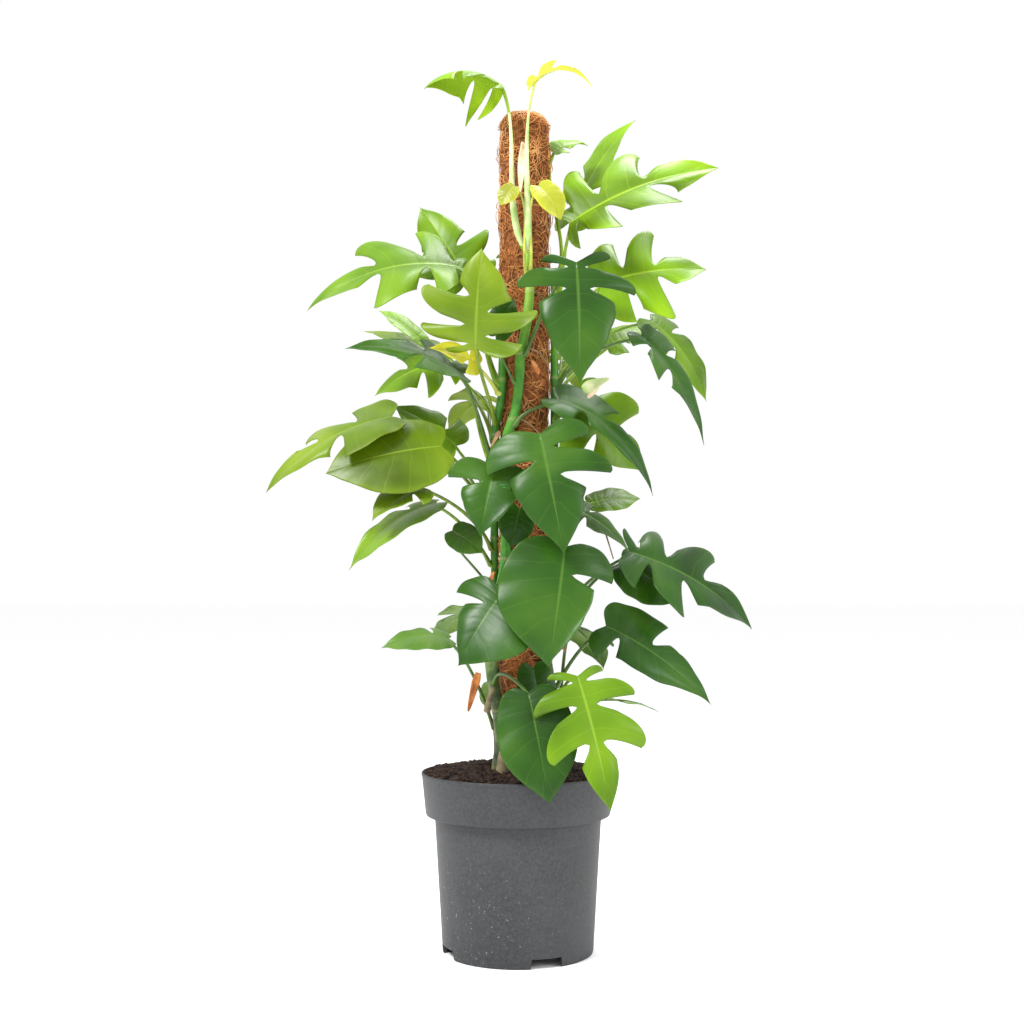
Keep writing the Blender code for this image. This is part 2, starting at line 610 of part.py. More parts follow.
def make_pot(where, cutters):
    """The pot: a turned body with notches in its foot and holes in its floor."""
    profile = (
        (0.0, FLOOR_UNDERSIDE),
        (BASE_RADIUS - FOOT_WIDTH, FLOOR_UNDERSIDE),
        (BASE_RADIUS - FOOT_WIDTH, 0.0),
        (BASE_RADIUS - 1.2 * MM, 0.0),
        (BASE_RADIUS + 0.2 * MM, 2.5 * MM),
        (BODY_TOP_RADIUS, COLLAR_BOTTOM - 1.5 * MM),
        (COLLAR_FOOT_RADIUS - 2.0 * MM, COLLAR_BOTTOM - 0.5 * MM),
        (COLLAR_FOOT_RADIUS, COLLAR_BOTTOM + 2.0 * MM),
        (RIM_RADIUS - 0.8 * MM, RIM_TOP - 4.5 * MM),
        (RIM_RADIUS, RIM_TOP - 3.5 * MM),
        (RIM_RADIUS - 0.2 * MM, RIM_TOP),
        (RIM_RADIUS - 0.8 * MM - WALL, RIM_TOP),
        (COLLAR_FOOT_RADIUS - WALL, COLLAR_BOTTOM + 3.0 * MM),
        (BODY_TOP_RADIUS - WALL, COLLAR_BOTTOM + 1.0 * MM),
        (BASE_RADIUS - WALL, FLOOR_UNDERSIDE + FLOOR_THICKNESS),
        (0.0, FLOOR_UNDERSIDE + FLOOR_THICKNESS))
    pot = turned("pot", profile, ROUND_STEPS, where)
    bm = bmesh.new()
    for angle in NOTCH_ANGLES:
        made = bmesh.ops.create_cube(bm, size=1.0)
        turn = math.radians(angle)
        for vert in made["verts"]:
            out = BASE_RADIUS - 6.0 * MM + vert.co.x * 24.0 * MM
            across = vert.co.y * NOTCH_WIDTH
            vert.co.z = (vert.co.z + 0.5) * 2.0 * NOTCH_HEIGHT - NOTCH_HEIGHT
            vert.co.x = out * math.sin(turn) + across * math.cos(turn)
            vert.co.y = -out * math.cos(turn) + across * math.sin(turn)
    notches = add_mesh("cut_notches", bm, cutters)
    bm = bmesh.new()
    for angle in NOTCH_ANGLES:
        turn = math.radians(angle + 45.0)
        made = bmesh.ops.create_cone(
            bm, cap_ends=True, segments=12, radius1=DRAIN_HOLE_RADIUS, radius2=DRAIN_HOLE_RADIUS, depth=30.0 * MM)
        place = (DRAIN_HOLE_CIRCLE * math.sin(turn), DRAIN_HOLE_CIRCLE * math.cos(turn), FLOOR_UNDERSIDE)
        bmesh.ops.translate(bm, verts=made["verts"], vec=place)
    holes = add_mesh("cut_drain_holes", bm, cutters)
    for cutter in (notches, holes):
        boolean(pot, cutter, "DIFFERENCE")
        hide(cutter)
    made = bake(pot)
    tidy_normals(made)
    return made


def make_soil(where, cutters):
    """The soil: it fills the pot, a gap inside its wall, with plain holes for the pole and the vines."""
    floor = FLOOR_UNDERSIDE + FLOOR_THICKNESS + GAP
    slope = (RIM_RADIUS - COLLAR_FOOT_RADIUS) / (RIM_TOP - COLLAR_BOTTOM)
    edge_radius = COLLAR_FOOT_RADIUS + slope * (SOIL_EDGE_TOP - COLLAR_BOTTOM) - WALL - 3.0 * GAP
    profile = (
        (0.0, floor),
        (BASE_RADIUS - WALL - 2.0 * GAP, floor),
        (BODY_TOP_RADIUS - WALL - 2.0 * GAP, COLLAR_BOTTOM + 1.4 * MM),
        (COLLAR_FOOT_RADIUS - WALL - 3.0 * GAP, COLLAR_BOTTOM + 3.6 * MM),
        (edge_radius, SOIL_EDGE_TOP),
        (edge_radius * 0.72, SOIL_EDGE_TOP + 0.6 * (SOIL_CENTRE_TOP - SOIL_EDGE_TOP)),
        (0.0, SOIL_CENTRE_TOP))
    soil = turned("soil", profile, ROUND_STEPS, where)
    centre = (POLE_X, POLE_Y)
    holes = [
        rod("cut_pole_hole", COIR_RADIUS + 2.0 * GAP, COIR_BOTTOM - GAP, 0.3, COIR_STEPS, cutters, centre),
        rod("cut_core_hole", CORE_RADIUS + 2.0 * GAP, CORE_BOTTOM - GAP, 0.1, 16, cutters, centre)]
    for vine in VINES:
        points, radii = vine_path(vine, 2.0 * GAP)
        points[0] = points[0] - Vector((0.0, 0.0, GAP))
        kept = [index for index, place in enumerate(points) if place.z < 0.27]
        count = kept[-1] + 1
        holes.append(tube("cut_hole_" + vine, points[:count], radii[:count], cutters))
    for hole in holes:
        boolean(soil, hole, "DIFFERENCE")
        hide(hole)
    made = bake(soil)
    tidy_normals(made)
    return made


def make_pole(where):
    """The stake and the coir sleeve round it."""
    centre = (POLE_X, POLE_Y)
    rod("pole_core", CORE_RADIUS, CORE_BOTTOM, CORE_TOP, 16, where, centre)
    bore = CORE_RADIUS + 2.0 * GAP
    outer = []
    height = 0.245
    while height < COIR_TOP - 0.03:
        outer.append((COIR_RADIUS, height))
        outer.append((COIR_RADIUS - COIR_WAIST, height + 0.5 * COIR_PITCH))
        height += COIR_PITCH
    outer = [point for point in outer if point[1] < COIR_TOP - 0.022]
    profile = [(0.0, CORE_TOP + GAP), (bore, CORE_TOP + GAP), (bore, COIR_BOTTOM), (COIR_RADIUS, COIR_BOTTOM)]
    profile += outer
    profile += [
        (COIR_RADIUS, COIR_TOP - 0.016),
        (COIR_RADIUS - 0.004, COIR_TOP - 0.006),
        (COIR_RADIUS - 0.013, COIR_TOP - 0.001),
        (0.0, COIR_TOP)]
    turned("pole_coir", profile, COIR_STEPS, where, centre)


def make_vines(where):
    """The three climbing stems, and a search tree of each, which finds its nearest surface."""
    trees = {}
    for vine in VINES:
        points, radii = vine_path(vine, 0.0)
        stem = tube("stem_" + vine, points, radii, where)
        bm = bmesh.new()
        bm.from_mesh(stem.data)
        trees[vine] = BVHTree.FromBMesh(bm)
        bm.free()
    return trees


def make_ties(where):
    """Each tie is a loop of soft plastic round the pole and the vines."""
    for name, height in TIES:
        inner = 0.0
        for vine in VINES:
            middle, radius = vine_point(vine, height * MM)
            reach = math.hypot(middle.x - POLE_X, middle.y - POLE_Y)
            inner = max(inner, (reach + radius + GAP) / math.cos(math.pi / TIE_STEPS))
        low = height * MM - 0.5 * TIE_HEIGHT
        high = low + TIE_HEIGHT
        profile = ((inner, low), (inner + TIE_BAND, low), (inner + TIE_BAND, high), (inner, high))
        turned(name, profile, TIE_STEPS, where, (POLE_X, POLE_Y))


def main():
    """Build every piece."""
    for obj in list(bpy.data.objects):
        bpy.data.objects.remove(obj)
    parts = collection("parts")
    cutters = collection("cutters")
    make_pot(parts, cutters)
    make_soil(parts, cutters)
    make_pole(parts)
    trees = make_vines(parts)
    make_ties(parts)
    for leaf in LEAVES:
        make_leaf(leaf, parts, cutters, trees[leaf.vine])


main()
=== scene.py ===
"""Looks of the mini monstera: leaves, vines, coir, soil and pot over the frame. Metres, front towards -Y."""

import random
from collections import namedtuple
from math import copysign, cos, exp, hypot, pi, radians, sin, sqrt, tau

import bmesh
import bpy
import numpy as np
from mathutils import Matrix, Vector, noise


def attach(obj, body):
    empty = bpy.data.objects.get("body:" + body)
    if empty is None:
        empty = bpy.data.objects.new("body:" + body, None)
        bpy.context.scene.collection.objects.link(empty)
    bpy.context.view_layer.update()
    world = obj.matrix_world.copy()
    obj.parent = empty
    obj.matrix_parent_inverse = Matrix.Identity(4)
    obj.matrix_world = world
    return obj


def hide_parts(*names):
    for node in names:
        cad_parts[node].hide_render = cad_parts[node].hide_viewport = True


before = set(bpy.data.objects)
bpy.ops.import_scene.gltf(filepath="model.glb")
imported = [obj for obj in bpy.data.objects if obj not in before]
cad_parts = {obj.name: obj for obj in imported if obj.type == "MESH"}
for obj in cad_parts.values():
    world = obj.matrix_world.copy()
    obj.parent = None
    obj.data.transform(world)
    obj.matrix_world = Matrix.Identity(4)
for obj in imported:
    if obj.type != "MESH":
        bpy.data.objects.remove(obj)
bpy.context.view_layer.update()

MM = 0.001

# Pot sizes, as the frame has them
RIM_RADIUS = 120.0 * MM
RIM_TOP = 222.7 * MM
COLLAR_BOTTOM = 170.0 * MM
COLLAR_FOOT_RADIUS = 114.7 * MM
BODY_TOP_RADIUS = 103.4 * MM
BASE_RADIUS = 93.4 * MM
WALL = 1.8 * MM
FOOT_WIDTH = 5.0 * MM
FLOOR_UNDERSIDE = 13.0 * MM
FLOOR_THICKNESS = 2.0 * MM
NOTCH_WIDTH = 42.0 * MM
NOTCH_HEIGHT = 12.0 * MM
NOTCH_ANGLES = (21.5, 111.5, 201.5, 291.5)
DRAIN_HOLE_RADIUS = 5.0 * MM
DRAIN_HOLE_CIRCLE = 58.0 * MM
SOIL_EDGE_TOP = 219.5 * MM
SOIL_CENTRE_TOP = 228.0 * MM

# Pole
POLE_X = 8.0 * MM
POLE_Y = 5.0 * MM
COIR_RADIUS = 31.0 * MM
COIR_TOP = 1038.0 * MM

# Vines climb round the pole: height in mm, degrees from the front, stem radius and room to the coir in mm
VINES = {
    "front": (
        (70, -62, 7.0, 6.0), (218, -56, 7.6, 3.0), (262, -44, 7.8, 2.4), (300, -48, 8.0, 3.5),
        (335, -60, 7.8, 6.5), (372, -66, 7.4, 8.5), (425, -54, 6.8, 4.0), (484, -36, 6.5, 1.6),
        (560, -36, 6.4, 1.6), (636, -36, 6.4, 1.6), (660, -17, 6.4, 2.0), (700, -10, 6.2, 1.4),
        (740, -8, 6.2, 1.4), (765, 2, 6.2, 1.4), (812, 10, 5.8, 1.6), (872, 4, 4.2, 2.5)),
    "left": (
        (70, -118, 5.0, 6.0), (234, -122, 5.2, 3.0), (330, -112, 5.2, 1.4), (440, -104, 5.2, 1.4),
        (540, -94, 5.2, 1.4), (612, -84, 5.2, 1.6), (650, -68, 5.4, 2.0), (682, -47, 5.4, 2.0),
        (716, -46, 5.0, 1.6), (740, -52, 3.6, 2.0)),
    "right": (
        (70, 98, 6.0, 6.0), (234, 86, 6.2, 3.0), (280, 74, 6.2, 1.6), (326, 58, 6.4, 1.8),
        (372, 40, 6.2, 2.0), (425, 46, 5.6, 1.6), (500, 66, 5.4, 1.6), (600, 82, 5.2, 1.4),
        (700, 88, 5.2, 1.4), (790, 86, 4.6, 1.4), (842, 90, 3.0, 1.8)),
}

# Plant ties that hold the vines to the pole, with their height in mm
TIES = (("tie_upper", 578), ("tie_lower", 440))
TIE_BAND = 1.4 * MM
TIE_HEIGHT = 5.0 * MM

# Leaves, with the places and sizes they have in the frame: number, vine, foot on the vine, base of the blade,
# tip, the way its upper side faces, width, bend, fold, and the ribs at which each side is slit
Leaf = namedtuple("Leaf", "number vine foot base tip face width bend fold plus minus")
LEAVES = tuple(Leaf(*row) for row in (
    # new leaves at the top
    (1, "front", 866, (-17, -35, 1060), (-114, -45, 1055), (0, 0.3, 0.95), 116, 108, -34, (3, 5), (2, 4, 6)),
    (2, "front", 862, (18, -30, 1065), (91, -25, 1063), (0, 0.1, 1), 34, 120, 44, (3, 5), (4,)),
    (3, "front", 840, (24, -64, 932), (51, -68, 890), (0.2, -0.9, 0.3), 38, 60, 20, (), ()),
    # upper right
    (4, "right", 800, (64, -20, 899), (250, 2, 973), (-0.15, -0.74, 0.66), 178, 34, 20, (2, 4, 6), (2, 4, 6)),
    (5, "right", 805, (67, 56, 919), (154, 88, 1061), (-0.6, -0.65, 0.5), 120, 30, 8, (4,), (3, 5)),
    (6, "right", 765, (101, -14, 825), (234, 0, 846), (0, -0.85, 0.5), 160, 36, 6, (4, 6), (4, 6)),
    (7, "front", 735, (69, -76, 838), (72, -100, 687), (0.1, -0.9, 0.4), 168, 28, 8, (2, 4), (2, 4)),
    (8, "right", 705, (151, -22, 760), (227, -32, 624), (0.7, -0.65, 0.4), 92, 40, 22, (3, 5), (4,)),
    (9, "right", 712, (167, 26, 788), (239, 36, 686), (0.5, -0.65, 0.5), 108, 45, 10, (3, 5), (4,)),
    (10, "right", 610, (66, -18, 677), (155, 6, 595), (0.1, -0.85, 0.5), 160, 30, 6, (2, 5), (3, 6)),
    # upper left
    (11, "left", 700, (-69, -20, 844), (-257, -36, 788), (-0.1, -0.7, 0.72), 162, 62, 14,
     (2, 4, 6), (2, 4, 6)),
    (12, "left", 705, (-63, 30, 840), (-126, 62, 940), (-0.3, -0.7, 0.6), 124, 30, 8, (3, 5), (3, 5)),
    (13, "left", 655, (-51, -80, 735), (-43, -94, 851), (-0.15, -0.95, 0.3), 160, 26, 10, (3, 5), (2, 4, 6)),
    (14, "left", 615, (-68, -38, 711), (-209, -52, 739), (-0.1, -0.5, 0.86), 96, 50, 12, (3, 5), (5,)),
    (15, "left", 610, (-82, 6, 735), (-179, 14, 691), (-0.2, -0.75, 0.6), 120, 44, 8, (4, 6), (3, 5)),
    (16, "left", 690, (-49, -38, 722), (-109, -52, 740), (-0.2, -0.7, 0.6), 56, 50, 16, (4,), (4,)),
    # left of the middle
    (17, "left", 540, (-154, -36, 659), (-306, -42, 566), (-0.5, -0.5, 0.7), 120, 45, 10, (4, 6), (5,)),
    (18, "left", 535, (-92, -56, 621), (-229, -78, 586), (-0.1, -0.85, 0.5), 112, 30, 6, (), ()),
    (19, "left", 480, (-101, -18, 555), (-206, -34, 472), (-0.55, -0.45, 0.7), 90, 50, 12, (4,), ()),
    (20, "left", 500, (-113, -66, 570), (-173, -86, 530), (-0.4, -0.7, 0.6), 62, 40, 10, (), (4,)),
    # in front of the middle, and one to the right of it
    (21, "front", 590, (-29, -82, 593), (-45, -100, 509), (0, -0.85, 0.5), 122, 28, 8, (4,), (4,)),
    (22, "front", 600, (25, -94, 632), (53, -126, 487), (0, -0.92, 0.35), 164, 26, 6, (4,), (3, 5)),
    (23, "right", 520, (66, -22, 549), (137, -26, 493), (0.3, -0.6, 0.7), 80, 40, 8, (4,), (4,)),
    (24, "front", 470, (55, -94, 499), (35, -118, 358), (0.1, -0.92, 0.35), 146, 26, 6, (), (4,)),
    # lower right and over the rim
    (25, "right", 400, (139, 0, 495), (301, 62, 397), (0.3, -0.7, 0.65), 156, 40, 10, (3, 5), (2, 4, 6)),
    (26, "right", 330, (107, -34, 404), (237, -26, 306), (0.2, -0.72, 0.65), 118, 36, 8, (3,), (5,)),
    (27, "right", 290, (69, -112, 348), (105, -152, 197), (0.1, -0.88, 0.45), 140, 28, 8,
     (2, 4, 6), (2, 4, 6)),
    (28, "front", 335, (12, -108, 328), (36, -138, 203), (0, -0.95, 0.3), 92, 22, 6, (), ()),
    # lower left
    (29, "front", 410, (-18, -78, 446), (-71, -100, 359), (-0.2, -0.85, 0.5), 132, 28, 8, (4,), ()),
    (30, "left", 275, (-84, -44, 389), (-165, -58, 378), (-0.2, -0.5, 0.85), 66, 50, 12, (4,), ()),
    # small and narrow leaves between the large ones
    (31, "right", 838, (44, 18, 998), (89, 36, 1011), (0, -0.5, 0.85), 56, 50, 12, (4,), ()),
    (32, "front", 832, (-5, -60, 933), (-22, -62, 909), (-0.2, -0.9, 0.3), 26, 40, 10, (), ()),
    (33, "front", 650, (46, -40, 680), (163, -46, 562), (0.45, -0.6, 0.65), 88, 66, 16, (4,), (5,)),
    (35, "left", 660, (-121, 60, 765), (-180, 74, 809), (0.4, -0.6, 0.6), 34, 30, 16, (), ()),
    (36, "left", 640, (-101, 84, 757), (-202, 100, 787), (0, -0.5, 0.86), 56, 30, 12, (4,), ()),
    (37, "right", 470, (91, 24, 557), (155, 34, 563), (0.1, -0.6, 0.8), 50, 30, 10, (), ()),
    (38, "front", 505, (2, -46, 547), (-9, -50, 500), (0, -1, 0.1), 44, 20, 10, (), ()),
    (39, "right", 260, (98, -20, 313), (174, -10, 297), (0, 0.1, 1), 48, 30, 12, (4,), ()),
    (40, "right", 300, (18, -50, 354), (33, -70, 247), (0.2, -0.95, 0.2), 52, 22, 10, (), ()),
    (47, "right", 372, (131, 24, 483), (202, 30, 431), (0.2, -0.75, 0.6), 84, 36, 8, (), (4,)),
    (48, "left", 566, (-78, 22, 629), (-160, 40, 682), (-0.2, -0.7, 0.7), 96, 40, 8, (4,), (4,)),
    (49, "right", 690, (116, 66, 762), (180, 86, 786), (0, -0.6, 0.8), 64, 34, 8, (4,), ()),
    (50, "front", 700, (-27, -50, 755), (-5, -58, 799), (-0.1, -0.9, 0.4), 40, 30, 10, (), ()),
    (51, "left", 448, (-81, -16, 521), (-44, -24, 493), (0, -0.8, 0.5), 44, 40, 12, (), ()),
    # leaves at the back, which the photograph hides
    (41, "left", 632, (-45, 88, 700), (-92, 150, 650), (-0.3, 0.5, 0.8), 100, 45, 12, (3, 5), (4,)),
    (42, "right", 640, (60, 85, 760), (80, 158, 715), (0.2, 0.5, 0.8), 92, 45, 10, (4,), (3, 5)),
    (43, "left", 480, (10, 90, 570), (15, 160, 500), (0, 0.6, 0.8), 104, 40, 10, (3, 5), (3, 5)),
    (44, "left", 330, (-60, 78, 420), (-112, 145, 370), (-0.4, 0.5, 0.8), 92, 45, 12, (4,), (4,)),
    (45, "right", 300, (70, 72, 400), (116, 145, 340), (0.4, 0.5, 0.8), 96, 40, 12, (3, 5), (4,)),
    (46, "left", 270, (-5, 90, 330), (-15, 152, 268), (0, 0.6, 0.8), 84, 35, 10, (), ()),
    (34, "right", 760, (8, 84, 880), (-20, 142, 850), (0, 0.5, 0.8), 78, 45, 12, (4,), (4,)),
))

# How green each leaf is, from the yellow young ones to the grey old ones; the rest are dark
TONE = {
    "pale": (2, 3, 16, 32),
    "lime": (1, 4, 5, 6, 15, 31, 35, 49),
    "light": (9, 10, 11, 12, 19, 27, 37, 48),
    "mid": (13, 17, 18, 20, 34, 36, 41, 42),
    "grey": (23, 30, 39, 44, 46, 51),
}
# For each tone: upper side, underside and vein, as screen colours from 0 to 255
TONE_COLOURS = {
    "pale": ((164, 170, 44), (178, 186, 70), (196, 202, 100)),
    "lime": ((104, 144, 2), (124, 160, 12), (150, 180, 40)),
    "light": ((82, 118, 4), (106, 140, 22), (128, 158, 44)),
    "mid": ((84, 110, 6), (104, 128, 24), (120, 144, 38)),
    "dark": ((34, 72, 8), (66, 100, 26), (76, 112, 36)),
    "grey": ((64, 100, 34), (94, 126, 58), (112, 142, 74)),
}

# Plain finishes of strips and roots: material name, two screen colours, noise scale and roughness
PLAIN_FINISHES = {
    "sheath": ("sheath_pale", (150, 190, 96), (214, 218, 168), 40.0, 0.45),
    "blush": ("sheath_blush", (206, 170, 140), (226, 206, 170), 60.0, 0.6),
    "rust": ("sheath_rust", (150, 84, 34), (204, 130, 62), 60.0, 0.7),
    "dry": ("root_dry", (104, 76, 48), (158, 124, 84), 70.0, 0.8),
    "old": ("stub_old", (72, 66, 44), (136, 122, 90), 70.0, 0.8),
}

# Dried strips: finish, both ends in mm, width and bow in mm
STRIPS = (
    ("rust", (-48, -50, 348), (-60, -60, 302), 12, 5),
    ("rust", (17, -58, 724), (25, -66, 706), 8, 3),
    ("blush", (6, -40, 992), (2, -47, 926), 9, 4),
    ("dry", (-22, -50, 640), (-34, -60, 618), 6, 3),
    ("dry", (46, -34, 398), (58, -44, 372), 7, 3),
    ("rust", (-30, -34, 470), (-41, -44, 440), 7, 3),
    ("sheath", (78, -44, 690), (110, -48, 704), 18, 6),
    ("blush", (100, -40, 700), (84, -46, 680), 10, 4))
STRIP_STEPS = 14
STRIP_LEVELS = (-1.0, -0.5, 0.0, 0.5, 1.0)

# Roots and stubs: finish, radius in mm and points in mm
ROOTS = (
    ("old", 9.5, ((-18, -48, 214), (-19, -49, 238), (-16, -50, 258))),
    ("dry", 1.3, ((102, -20, 536), (109, -24, 512), (117, -22, 486))),
    ("dry", 1.4, ((14, -38, 742), (26, -32, 738), (35, -20, 728), (40, -4, 716))),
    ("dry", 1.3, ((-2, -36, 660), (12, -33, 652), (26, -28, 640), (36, -16, 630))),
    ("dry", 1.2, ((12, -36, 816), (24, -31, 812), (34, -20, 800))),
    ("dry", 1.2, ((-10, -36, 562), (4, -34, 556), (18, -31, 548), (30, -24, 542))),
    ("dry", 1.2, ((-18, -32, 486), (-4, -32, 478), (10, -32, 466), (24, -28, 458))),
    ("old", 4.6, ((-38, -36, 300), (-35, -42, 316), (-31, -46, 330))),
    ("dry", 1.1, ((-24, -8, 640), (-25, 12, 632), (-18, 28, 622))),
    ("dry", 1.1, ((42, 10, 640), (36, 24, 632), (22, 35, 620))))

# Blade form: the frame's ribs, how finely each step is cut, and the shape of lobes and slits
RIBS = (0.0, 0.09, 0.2, 0.32, 0.44, 0.56, 0.68, 0.82, 1.0)
RIB_PARTS = 6
SIDE_LEVELS = (0.05, 0.11, 0.17, 0.24, 0.33, 0.41, 0.5, 0.59, 0.68, 0.77, 0.85, 0.91, 0.96, 1.0)
SLIT_ROOT = 0.17
BLADE_THICKNESS = 0.6 * MM
SLIT_HALF_WIDTH = 0.05
LOBE_BACK = 0.4
LOBE_FRONT = 0.04
TIP_LOBE_PULL = 0.9
MOST_PULL = 0.45
LOBE_CUP = 0.1
LOBE_SWAY = 0.1
LOBE_ROUND = 0.07
BASE_LOBE = 0.09
TAPER_START = 0.54
CURL = 0.22
RIPPLE = 1.6 * MM

# Leaf stalks, the two with a sheath, and the side veins of a blade
STALK_FOOT_RADIUS = 2.6 * MM
STALK_TOP_RADIUS = 1.7 * MM
STALK_POINTS = 22
YOUNG_WIDTH = 50.0
SHEATHED = (1, 2)
SIDE_VEINS = 8.0
VEIN_EDGE = 0.035
# Where the stalk runs on under the midrib: share of the blade's length and of the stalk's radius
MIDRIB_STEPS = ((0.08, 0.8), (0.16, 0.62), (0.26, 0.45), (0.38, 0.2))

# Rings on the vines, in mm above the floor, and the size of a ring and of its scar
RINGS = {
    "front": (300, 372, 425, 486, 560, 610, 656, 736, 812),
    "left": (268, 352, 438, 512, 580, 640, 706),
    "right": (262, 326, 402, 470, 552, 640, 712, 772)}
RING_WIDTH = 3.2 * MM
SCAR_WIDTH = 1.5 * MM
VINE_STEP = 2.2 * MM
VINE_SMOOTHING = 6

# Turned pieces: steps round the pot, soil, coir and ties, rings in the soil, and sides of a tie's section
POT_STEPS = 160
SOIL_RINGS = 46
SOIL_STEPS = 150
COIR_STEPS = 96
TIE_STEPS = 96
TIE_SIDES = 16

# Soil crumbs, with their radii in mm
CRUMBS = 2200
CRUMB_SIZES = (0.9, 1.3, 1.8, 2.6, 4.0)

# Coir sleeve, with its waists and rounded top, and the loose fibres on it
WAIST_PITCH = 70.0 * MM
WAIST_DEPTH = 0.9 * MM
DOME_RADIUS = 15.0 * MM
DOME_HEIGHT = 16.0 * MM
SIDE_FIBRES = 2600
TOP_FIBRES = 260
FIBRE_LOW = 0.21

# Lights: name, place, aim, size and watts
LIGHTS = (
    ("key", (-1.5, -1.5, 2.6), (0.0, 0.0, 0.6), 1.0, 110.0),
    ("top", (0.5, 0.5, 2.8), (0.0, 0.0, 0.7), 1.2, 50.0),
    ("fill", (2.2, -1.4, 1.4), (0.0, 0.0, 0.5), 1.2, 26.0))

# Camera and floor
CAMERA_PLACE = (-0.0075, -1.78, 0.454)
CAMERA_LENS = 50.34
CAMERA_SHIFT = 73.0 / 1024.0
FLOOR_HALF = 30.0
FLOOR_PALE = 0.985


def linear(colour):
    """Turn a screen colour of 0 to 255 into the linear colour that materials use."""
    shares = [value / 255.0 for value in colour]
    parts = [share / 12.92 if share <= 0.04045 else ((share + 0.055) / 1.055) ** 2.4 for share in shares]
    return (*parts, 1.0)


def shader_colour(colour):
    """Three parts are a screen colour of 0 to 255, and four are a linear colour already."""
    return linear(colour) if len(colour) == 3 else colour


class Nodes:
    """A short way to build a material's node tree."""

    def __init__(self, name):
        self.material = bpy.data.materials.new(name)
        self.material.use_nodes = True
        self.tree = self.material.node_tree
        self.shader = self.tree.nodes["Principled BSDF"]

    def add(self, kind, **settings):
        """Add a node and set its properties."""
        node = self.tree.nodes.new(kind)
        for key, value in settings.items():
            setattr(node, key, value)
        return node

    def link(self, source, target):
        """Link an output socket to an input socket."""
        self.tree.links.new(source, target)

    def math(self, operation, first, second=None, third=None):
        """A math node on sockets or numbers."""
        node = self.add("ShaderNodeMath", operation=operation)
        for index, value in enumerate((first, second, third)):
            if value is None:
                continue
            if isinstance(value, (int, float)):
                node.inputs[index].default_value = value
            else:
                self.link(value, node.inputs[index])
        return node.outputs[0]

    def noise(self, scale, detail=4.0, roughness=0.55, vector=None):
        """A noise texture in object space."""
        node = self.add("ShaderNodeTexNoise")
        node.inputs["Scale"].default_value = scale
        node.inputs["Detail"].default_value = detail
        node.inputs["Roughness"].default_value = roughness
        if vector is None:
            vector = self.add("ShaderNodeTexCoord").outputs["Object"]
        self.link(vector, node.inputs["Vector"])
        return node.outputs["Fac"]

    def ramp(self, value, stops):
        """A colour ramp with stops of (place, colour)."""
        node = self.add("ShaderNodeValToRGB")
        while len(node.color_ramp.elements) < len(stops):
            node.color_ramp.elements.new(0.5)
        for element, (place, colour) in zip(node.color_ramp.elements, stops):
            element.position = place
            element.color = shader_colour(colour)
        self.link(value, node.inputs["Fac"])
        return node.outputs["Color"]

    def mix(self, share, first, second):
        """Mix two colours by a share."""
        node = self.add("ShaderNodeMix", data_type="RGBA")
        for socket, value in ((node.inputs[0], share), (node.inputs[6], first), (node.inputs[7], second)):
            if isinstance(value, tuple):
                socket.default_value = shader_colour(value)
            elif isinstance(value, float):
                socket.default_value = value
            else:
                self.link(value, socket)
        return node.outputs[2]

    def step(self, value, low, high):
        """A smooth step from 0 at low to 1 at high."""
        node = self.add("ShaderNodeMapRange", interpolation_type="SMOOTHSTEP")
        node.inputs["From Min"].default_value = low
        node.inputs["From Max"].default_value = high
        self.link(value, node.inputs["Value"])
        return node.outputs["Result"]

    def bump(self, height, distance, strength=1.0, under=None):
        """A bump node on a height, optionally on top of another bump."""
        node = self.add("ShaderNodeBump")
        node.inputs["Distance"].default_value = distance
        node.inputs["Strength"].default_value = strength
        self.link(height, node.inputs["Height"])
        if under is not None:
            self.link(under, node.inputs["Normal"])
        return node.outputs["Normal"]

    def finish(self, colour, roughness, normal, specular=0.5):
        """Link colour, roughness and normal to the shader, and set how strongly it reflects."""
        self.link(colour, self.shader.inputs["Base Color"])
        self.link(normal, self.shader.inputs["Normal"])
        self.shader.inputs["Specular IOR Level"].default_value = specular
        if isinstance(roughness, float):
            self.shader.inputs["Roughness"].default_value = roughness
        else:
            self.link(roughness, self.shader.inputs["Roughness"])
        return self.material


